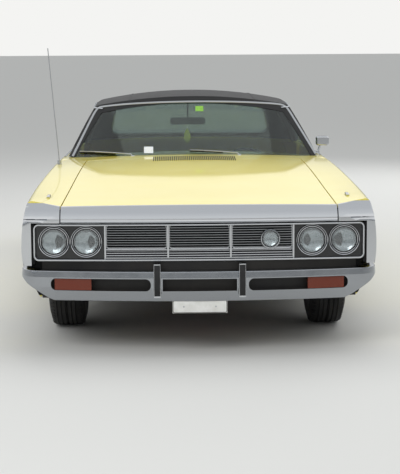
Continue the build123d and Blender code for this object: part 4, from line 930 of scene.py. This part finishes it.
# %% Tyre and wheel profiles
tyre_radius, block_count, fin_count = 0.357, 72, 30
wheel_places = {"front_left": (0.7885, -1.804), "front_right": (-0.7885, -1.804), "rear_left": (0.7725, 1.295),
                "rear_right": (-0.7725, 1.295)}
half_profile = [(0.1900, 0.086), (0.1960, 0.0930), (0.2060, 0.0975), (0.2200, 0.1010), (0.2220, 0.1022),
                (0.2240, 0.1014), (0.2500, 0.1062), (0.2700, 0.1072), (0.2950, 0.1060), (0.2970, 0.1068),
                (0.2990, 0.1054), (0.3200, 0.1000), (0.3360, 0.0910), (0.3470, 0.0800), (0.3525, 0.0720)]
for x in (0.060, 0.034, 0.008):
    half_profile += [(0.3556, x), (0.3490, x - 0.0015), (0.3490, x - 0.0065), (0.3562, x - 0.008)]
tyre_profile = half_profile + [(r, -x) for r, x in half_profile[::-1]] + [(0.1902, -0.080), (0.1902, 0.080)]
cover_profile = [(0.0, 0.083), (0.020, 0.0825), (0.036, 0.079), (0.044, 0.072), (0.046, 0.062), (0.060, 0.058),
                 (0.105, 0.062), (0.150, 0.070), (0.158, 0.0765), (0.166, 0.078), (0.176, 0.0765), (0.184, 0.084),
                 (0.1888, 0.0855), (0.1890, 0.078), (0.1800, 0.070), (0.150, 0.060), (0.0, 0.052)]
for corner, (x, y) in wheel_places.items():
    side = 1 if x > 0 else -1
    tyre = turned(tyre_profile, (0, 0, 0), "X", 96)
    block = strip([(0.074, -0.006, 0.3515), (0.092, 0.004, 0.3405)], 0.012, 0.005, 0.001, 1)
    shoulder = repeat_mesh(block, block_count, tyre_rubber, turn=(2 * math.pi / block_count, 0, 0))
    other = shoulder.copy()
    other.transform(Matrix.Rotation(math.pi, 4, "Z"))
    dish = turned([(r, side * a) for r, a in cover_profile], (0, 0, 0), "X", 72, closed=False)
    fin_line = [(side * 0.0620, 0, 0.066), (side * 0.0645, 0.004, 0.105), (side * 0.0725, 0.010, 0.150)]
    fin = strip(fin_line, 0.007, 0.010, 0.002, 2, up=(side, 0, 0))
    fins = repeat_mesh(fin, fin_count, chrome, turn=(2 * math.pi / fin_count, 0, 0))
    for name, meshes, material, slot, node in (
            (f"tyre_{corner}_tread", [tyre, shoulder, other], tyre_rubber, "tyre", f"tyre_{corner}"),
            (f"wheel_cover_{corner}", [dish, fins], chrome, "wheel_metal", None)):
        whole = join_meshes(meshes)
        whole.transform(Matrix.Translation((x, y, tyre_radius)))
        fit(name, whole, material, f"wheel_{corner}", 35, node)
print("wheels", len(wheel_places))

# %% [markdown]
# ## Seats
# Both benches have vinyl cushions over springs, with sewn channels. Each pad starts as a block that is a
# little too small, is remeshed evenly, and is blown up as cloth with its own pressure, so that its sides
# pull in between the corners. The channels are pressed in afterwards, where the thread holds the cover down.


# %% The pads' blocks
def prism_x(outline, low_x, high_x):
    """A prism across the car on an outline of (y, z) points."""
    return slab(*([(x, y, z) for y, z in outline] for x in (low_x, high_x)))


front_cushion = [(-0.215, 0.365), (-0.215, 0.455), (-0.185, 0.480), (0.195, 0.452), (0.195, 0.365)]
front_back = [(0.222, 0.485), (0.345, 0.835), (0.400, 0.852), (0.430, 0.835), (0.330, 0.440), (0.245, 0.440)]
rear_cushion = [(0.740, 0.420), (0.740, 0.472), (0.950, 0.455), (0.935, 0.420)]
rear_back = [(0.985, 0.520), (1.065, 0.835), (1.105, 0.850), (1.128, 0.832), (1.070, 0.590), (1.010, 0.565)]
pad_table = [
    ("front_cushion_left", front_cushion, 0.012, 0.668), ("front_cushion_right", front_cushion, -0.668, -0.012),
    ("front_back_left", front_back, 0.012, 0.668), ("front_back_right", front_back, -0.668, -0.012),
    ("rear_cushion", rear_cushion, -0.580, 0.580), ("rear_back", rear_back, -0.580, 0.580),
]
pads = []
for name, outline, low_x, high_x in pad_table:
    pad = make_object(f"{name}_pad", prism_x(outline, low_x, high_x), seat_vinyl, None, 0)
    remesh = pad.modifiers.new("even_cells", "REMESH")
    remesh.mode = "VOXEL"
    remesh.voxel_size = 0.012
    settle(pad)
    pads.append(pad)
print("pad faces", [len(pad.data.polygons) for pad in pads])

# %% Blow the pads up as cloth
most_swell, last_frame = 0.020, 14
for pad in pads:
    cloth = pad.modifiers.new("cover", "CLOTH").settings
    cloth.use_pressure = True
    cloth.uniform_pressure_force = 4.0
    cloth.effector_weights.gravity = 0.0
    cloth.quality = 4
before = {pad.name: [vertex.co.copy() for vertex in pad.data.vertices] for pad in pads}
for number in range(1, last_frame + 1):
    bpy.context.scene.frame_set(number)
depsgraph = bpy.context.evaluated_depsgraph_get()
for pad in pads:
    swollen = pad.evaluated_get(depsgraph).to_mesh()
    for vertex, moved, old in zip(pad.data.vertices, swollen.vertices, before[pad.name]):
        shift = moved.co - old
        vertex.co = old + shift * min(1.0, most_swell / max(shift.length, 1e-9))
    pad.evaluated_get(depsgraph).to_mesh_clear()
for pad in pads:
    pad.modifiers.clear()
bpy.context.scene.frame_set(1)

# %% Press in the sewn channels
channel_pitch, channel_depth, channel_width = 0.082, 0.009, 0.010
for pad in pads:
    finer = pad.modifiers.new("finer", "SUBSURF")
    finer.levels = finer.render_levels = 1
    settle(pad)
    shape = bmesh.new()
    shape.from_mesh(pad.data)
    shape.normal_update()
    low_x = min(vertex.co.x for vertex in shape.verts)
    high_x = max(vertex.co.x for vertex in shape.verts)
    count = round((high_x - low_x) / channel_pitch)
    pitch = (high_x - low_x) / count
    for vertex in shape.verts:
        along = (vertex.co.x - low_x) / pitch
        off = abs(along - round(along)) * pitch
        if 0 < round(along) < count and abs(vertex.normal.x) < 0.7:
            vertex.co -= vertex.normal * channel_depth * math.exp(-((off / channel_width) ** 2))
    shape.to_mesh(pad.data)
    shape.free()
    pad.data.shade_smooth()
    pad.data.materials.clear()
    pad.data.materials.append(seat_vinyl)
    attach(pad, "chassis")

# %% The hard shells and bases under the pads
base = [(-0.215, 0.335), (-0.215, 0.385), (0.200, 0.385), (0.200, 0.302), (-0.120, 0.302)]
leg = [(-0.115, 0.2595), (-0.115, 0.31), (0.195, 0.31), (0.195, 0.2595)]
shell = [(0.335, 0.340), (0.448, 0.835), (0.462, 0.838), (0.358, 0.338), (0.215, 0.330), (0.215, 0.385)]
rear_base = [(0.704, 0.300), (0.704, 0.455), (0.740, 0.440), (0.945, 0.440), (0.960, 0.555), (0.826, 0.424)]
rear_shell = [(1.000, 0.568), (1.045, 0.568), (1.138, 0.838), (1.120, 0.842)]
base_table = [(base, -0.670, 0.670), (leg, -0.60, -0.20), (leg, 0.20, 0.60), (shell, -0.675, 0.675),
              (rear_base, -0.590, 0.590), (rear_shell, -0.590, 0.590)]
bases = [prism_x(*row) for row in base_table]
seat_frames = make_object("seat_frames", join_meshes(bases), dash_plastic, None, 30)
edge_round = seat_frames.modifiers.new("rounded_edges", "BEVEL")
edge_round.width, edge_round.segments = 0.006, 2
settle(seat_frames)
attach(seat_frames, "chassis")
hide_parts("seats")

# %% [markdown]
# ## Inside the cabin
# Behind the windscreen hang a mirror with a silvered face and, on a thin thread, a small flat air freshener.
# Two plain stickers are stuck to the glass. The dashboard's padding and the steering wheel are smooth copies
# of the frame's. Card and stickers could be single faces, but thin slabs are closed, as the export needs.

# %% Mirror face, freshener and stickers
for node in ("dashboard", "steering_wheel"):
    smooth_copy(node, dash_plastic)
mirror_line = [(-0.150, -0.4895, 1.187), (0.086, -0.4895, 1.187)]
fit("mirror_face", strip(mirror_line, 0.002, 0.040, 0.0009, 2), mirror_silver)
card_points = [(0.0, 1.030), (0.014, 1.044), (0.023, 1.066), (0.022, 1.092), (0.012, 1.120), (0.0, 1.136),
               (-0.012, 1.120), (-0.022, 1.092), (-0.023, 1.066), (-0.014, 1.044)]
card_x = -0.036
card = slab(*([(card_x + a, y, z) for a, z in card_points] for y in (-0.486, -0.4845)))
fit("air_freshener", card, fresh_card)
thread = strip([(card_x, -0.485, 1.133), (card_x, -0.485, 1.170)], 0.0016, 0.0016, 0.0007, 2, up=(0, -1, 0))
fit("freshener_thread", thread, white_film)
screen_tree = surface_tree("windscreen")
for name, column, row, width, height, film in (("sticker_upper", 200.2, 108.2, 0.055, 0.034, green_film),
                                               ("sticker_lower", 149.2, 149.0, 0.062, 0.040, white_film)):
    middle = on_screen(column, row)
    corners = [hit(screen_tree, (middle.x + a * width / 2, -4, middle.z + b * height / 2), (0, 1, 0))
               for a, b in ((-1, -1), (1, -1), (1, 1), (-1, 1))]
    outer, inner = (lifted(corners, (0, shift, 0)) for shift in (-0.0012, -0.0003))
    fit(name, slab(outer, inner), film, angle=0)

# %% [markdown]
# ## Wipers
# Each wiper is a bright arm on a round pivot, with a thin bright spine that carries a black rubber blade. At rest
# they lie along the foot of the windscreen. Arm, spine and blade are swept along one line on the glass, so that they
# stay parallel to it.

# %% Arms and blades
arms, rubbers = [], []
for tip, pivot in (((80.5, 151.6), (131.5, 154.6)), ((190.5, 151.2), (238.0, 154.2))):
    line = []
    for i in range(11):
        column, row = (tip[k] + (pivot[k] - tip[k]) * i / 10 for k in (0, 1))
        line.append(on_screen(column, row - 0.5 * math.sin(math.pi * i / 10), 0.020))
    arms.append(strip(line[3:] + [line[-1] + Vector((0.012, -0.012, -0.020))], 0.008, 0.007, 0.002, 2))
    arms.append(strip(lifted(line[:8], (0, 0.004, 0.001)), 0.006, 0.005, 0.0015, 2))
    arms.append(turned([(0, 0.012), (0.008, 0.0115), (0.012, 0.006), (0.012, -0.024), (0, -0.024)],
                       line[-1] + Vector((0.012, -0.012, -0.018)), "Z", 20))
    rubbers.append(strip(lifted(line[:8], (0, 0.010, -0.006)), 0.008, 0.012, 0.002, 2))
fit("wiper_arms", arms, wiper_steel, node="wipers")
fit("wiper_blades", rubbers, guard_rubber)

# %% [markdown]
# ## Door trims
# Inside, each door has a vinyl-covered board with two bright strips, a padded armrest, a window winder and a
# latch handle. They ride on the door. The boards are swept thin rather than cut out of a box, because a sweep
# rounds their edges.

# %% Boards, armrests and winders
boss_profile = [(0, 0.030), (0.012, 0.028), (0.016, 0.020), (0.017, 0), (0, 0)]
for side, name in ((1, "left"), (-1, "right")):
    board, crank, latch = ([(side * x, y, z) for x, y, z in line] for line in (
        [(0.8415, -0.655, 0.610), (0.8415, 0.440, 0.610)],
        [(0.815, -0.300, 0.700), (0.812, -0.250, 0.686), (0.806, -0.195, 0.672)],
        [(0.832, 0.220, 0.735), (0.822, 0.270, 0.735), (0.826, 0.320, 0.730)]))
    rest = smooth_line([(side * 0.825, -0.420, 0.600), (side * 0.815, -0.380, 0.612), (side * 0.812, -0.150, 0.618),
                        (side * 0.815, 0.100, 0.612), (side * 0.825, 0.140, 0.600)], 4)
    trims = [strip(board, 0.005, 0.500, 0.002, 2), strip(rest, 0.040, 0.046, 0.014)]
    fit(f"door_trim_{name}", trims, seat_vinyl, f"door_{name}")
    bright = [strip([(side * 0.8382, -0.640, z), (side * 0.8382, 0.425, z)], 0.003, 0.010, 0.001, 2)
              for z in (0.560, 0.790)]
    boss = turned(boss_profile, (0, 0, 0), "X", 24)
    boss.transform(Matrix.Translation((side * 0.839, -0.300, 0.700)) @ Matrix.Diagonal((-side, 1, 1, 1)))
    bright += [boss, strip(crank, 0.012, 0.007, 0.003, 2, up=(side, 0, 0)),
               strip(latch, 0.020, 0.007, 0.003, 2, up=(side, 0, 0))]
    winder = edit_mesh(join_meshes(bright))
    fit(f"door_winder_{name}", winder, chrome, f"door_{name}")

# %% [markdown]
# ## Dials
# The instrument panel shows four round dials behind the steering wheel, each a bright ring round a dark face
# with a thin hand, and a row of small knobs. Painted dials would look flat, and turned rings catch the light
# as the real bezels do.

# %% Dials and knobs
dash_tree = surface_tree("dashboard")
dial_z, knob_z = 0.815, 0.760
ring = [(0.040, -0.004), (0.041, 0.004), (0.038, 0.006), (0.035, 0.001), (0.035, -0.004)]
disc = [(0, 0.0015), (0.0355, 0.0015), (0.0355, -0.003), (0, -0.003)]
knob = [(0, 0.020), (0.008, 0.019), (0.010, 0.014), (0.010, -0.003), (0, -0.003)]
dial_rings, dial_faces, dial_hands = [], [], []
for x in (0.235, 0.335, 0.435, 0.535):
    y = hit(dash_tree, (x, 1.0, dial_z), (0, -1, 0)).y
    dial_rings.append(turned(ring, (x, y, dial_z), segments=40))
    dial_faces.append(turned(disc, (x, y, dial_z), segments=40))
    dial_hands.append(strip([(x, y + 0.0025, dial_z), (x - 0.018, y + 0.0025, 0.833)], 0.0018, 0.001, 0.0004, 1,
                            up=(0, 1, 0)))
for i in range(5):
    x = -0.10 - 0.07 * i
    y = hit(dash_tree, (x, 1.0, knob_z), (0, -1, 0)).y
    dial_rings.append(turned(knob, (x, y, knob_z), segments=20))
fit("dial_rims", dial_rings, chrome)
fit("dial_discs", dial_faces, panel_black)
fit("dial_pointers", dial_hands, white_film)

# %% [markdown]
# ## Tail lamp frames
# Each red lens at the back sits in a bright frame inside its slot, and has fine upright ribs. The tree
# repeats one rib, leaned by the slope that rays measure on the lens.

# %% Frames and ribs
tail_tree = surface_tree("tail_lamps")
lamp_z, rib_count, rib_pitch, rib_half = 0.478, 14, 0.0096, 0.0625


def tail_y(x, z=lamp_z):
    """How far back the red lens stands at a place."""
    return hit(tail_tree, (x, 4, z), (0, -1, 0)).y


tail_frames, tail_ribs = [], []
for side in (-1, 1):
    for low_x, high_x in ((0.350, 0.500), (0.530, 0.680), (0.710, 0.860)):
        middle = side * (low_x + high_x) / 2
        rim_path = [(middle + a, tail_y(middle + a * 0.96, lamp_z + b * 0.96) + 0.002, lamp_z + b)
                    for a, b in rounded_section(high_x - low_x - 0.004, 0.072, 0.012, 3)]
        tail_frames.append(strip(rim_path, 0.005, 0.006, 0.0015, 2, closed=True, up=(0, 1, 0)))
        lean = (tail_y(middle + 0.05) - tail_y(middle - 0.05)) / 0.1
        rib_y = tail_y(middle) - lean * rib_half
        rib = strip([(middle - rib_half, rib_y, z) for z in (0.447, 0.509)], 0.004, 0.004, 0.0015, 2, up=(0, 1, 0))
        tail_ribs.append(repeat_mesh(rib, rib_count, red_lens, step=(rib_pitch, lean * rib_pitch, 0)))
fit("tail_lamp_frames", tail_frames, chrome)
fit("tail_lamp_ribs", tail_ribs, red_lens)

# %% [markdown]
# ## Under the hood
# The engine's solid is one block. On it stand a round air cleaner with a wing nut and two ribbed valve
# covers. Turned and swept shapes are enough here, since they are seen only with the hood up.

# %% Air cleaner and valve covers
engine_y, cover_z = -1.75, 0.8135
top_z = drop(surface_tree("engine"), 0.0, engine_y).z
cleaner_profile = [(0, 0.062), (0.030, 0.061), (0.036, 0.054), (0.120, 0.050), (0.150, 0.044), (0.156, 0.036),
                   (0.150, 0.030), (0.150, 0.010), (0.156, 0.006), (0.150, 0.0), (0, -0.002)]
fit("air_cleaner", turned(cleaner_profile, (0, engine_y, top_z), "Z", 56), panel_black)
nut_profile = [(0, 0.010), (0.007, 0.010), (0.009, 0.007), (0.009, 0.0), (0, 0.0)]
covers, nuts = [], []
for x in (-0.190, 0.190):
    covers.append(strip([(x, -2.110, cover_z), (x, -1.400, cover_z)], 0.120, 0.048, 0.018, 4))
    rib = strip([(x - 0.045, -2.080, 0.8385), (x + 0.045, -2.080, 0.8385)], 0.010, 0.006, 0.002, 2)
    covers.append(repeat_mesh(rib, 18, engine_enamel, step=(0, 0.0382, 0)))
    nuts += [turned(nut_profile, (x, y, 0.8372), "Z", 6) for y in (-2.06, -1.75, -1.45)]
wing_profile = [(0, 0.020), (0.006, 0.018), (0.014, 0.006), (0.014, 0.0), (0, 0)]
nuts.append(turned(wing_profile, (0, engine_y, top_z + 0.0605), "Z", 16))
fit("valve_covers", covers, engine_enamel)
fit("cover_nuts", nuts, wiper_steel)
print("air cleaner on", round(top_z, 3))

# %% [markdown]
# ## Everything that keeps its own mesh
# The running gear and the floor are seen only from below, and the coloured lenses, the aerial and a few small
# parts are simple shapes. A finer mesh would show nothing more, so they only change their finish.

# %% Finishes for the frame's own nodes
node_materials = {
    # The bay panels take the flat black of painted shade.
    "bay_panels": shadow_paint, "filler_panel": chassis_black, "frame": chassis_black,
    "front_suspension": chassis_black, "rear_axle": chassis_black, "fuel_tank": exhaust_steel,
    "exhaust": exhaust_steel, "engine": engine_enamel, "floor": carpet, "inside_mirror": dash_plastic,
    "antenna": wiper_steel, "tie_rod": forged_iron, "knuckle_left": forged_iron, "knuckle_right": forged_iron,
    "front_turn_lamps": amber_lens, "tail_lamps": red_lens,
}
node_materials.update({f"wheel_{corner}": chrome for corner in wheel_places})
for node, material in node_materials.items():
    holder = frame["nodes"][node]
    for slot in holder.material_slots:
        slot.material = material
    if not holder.material_slots:
        holder.data.materials.append(material)
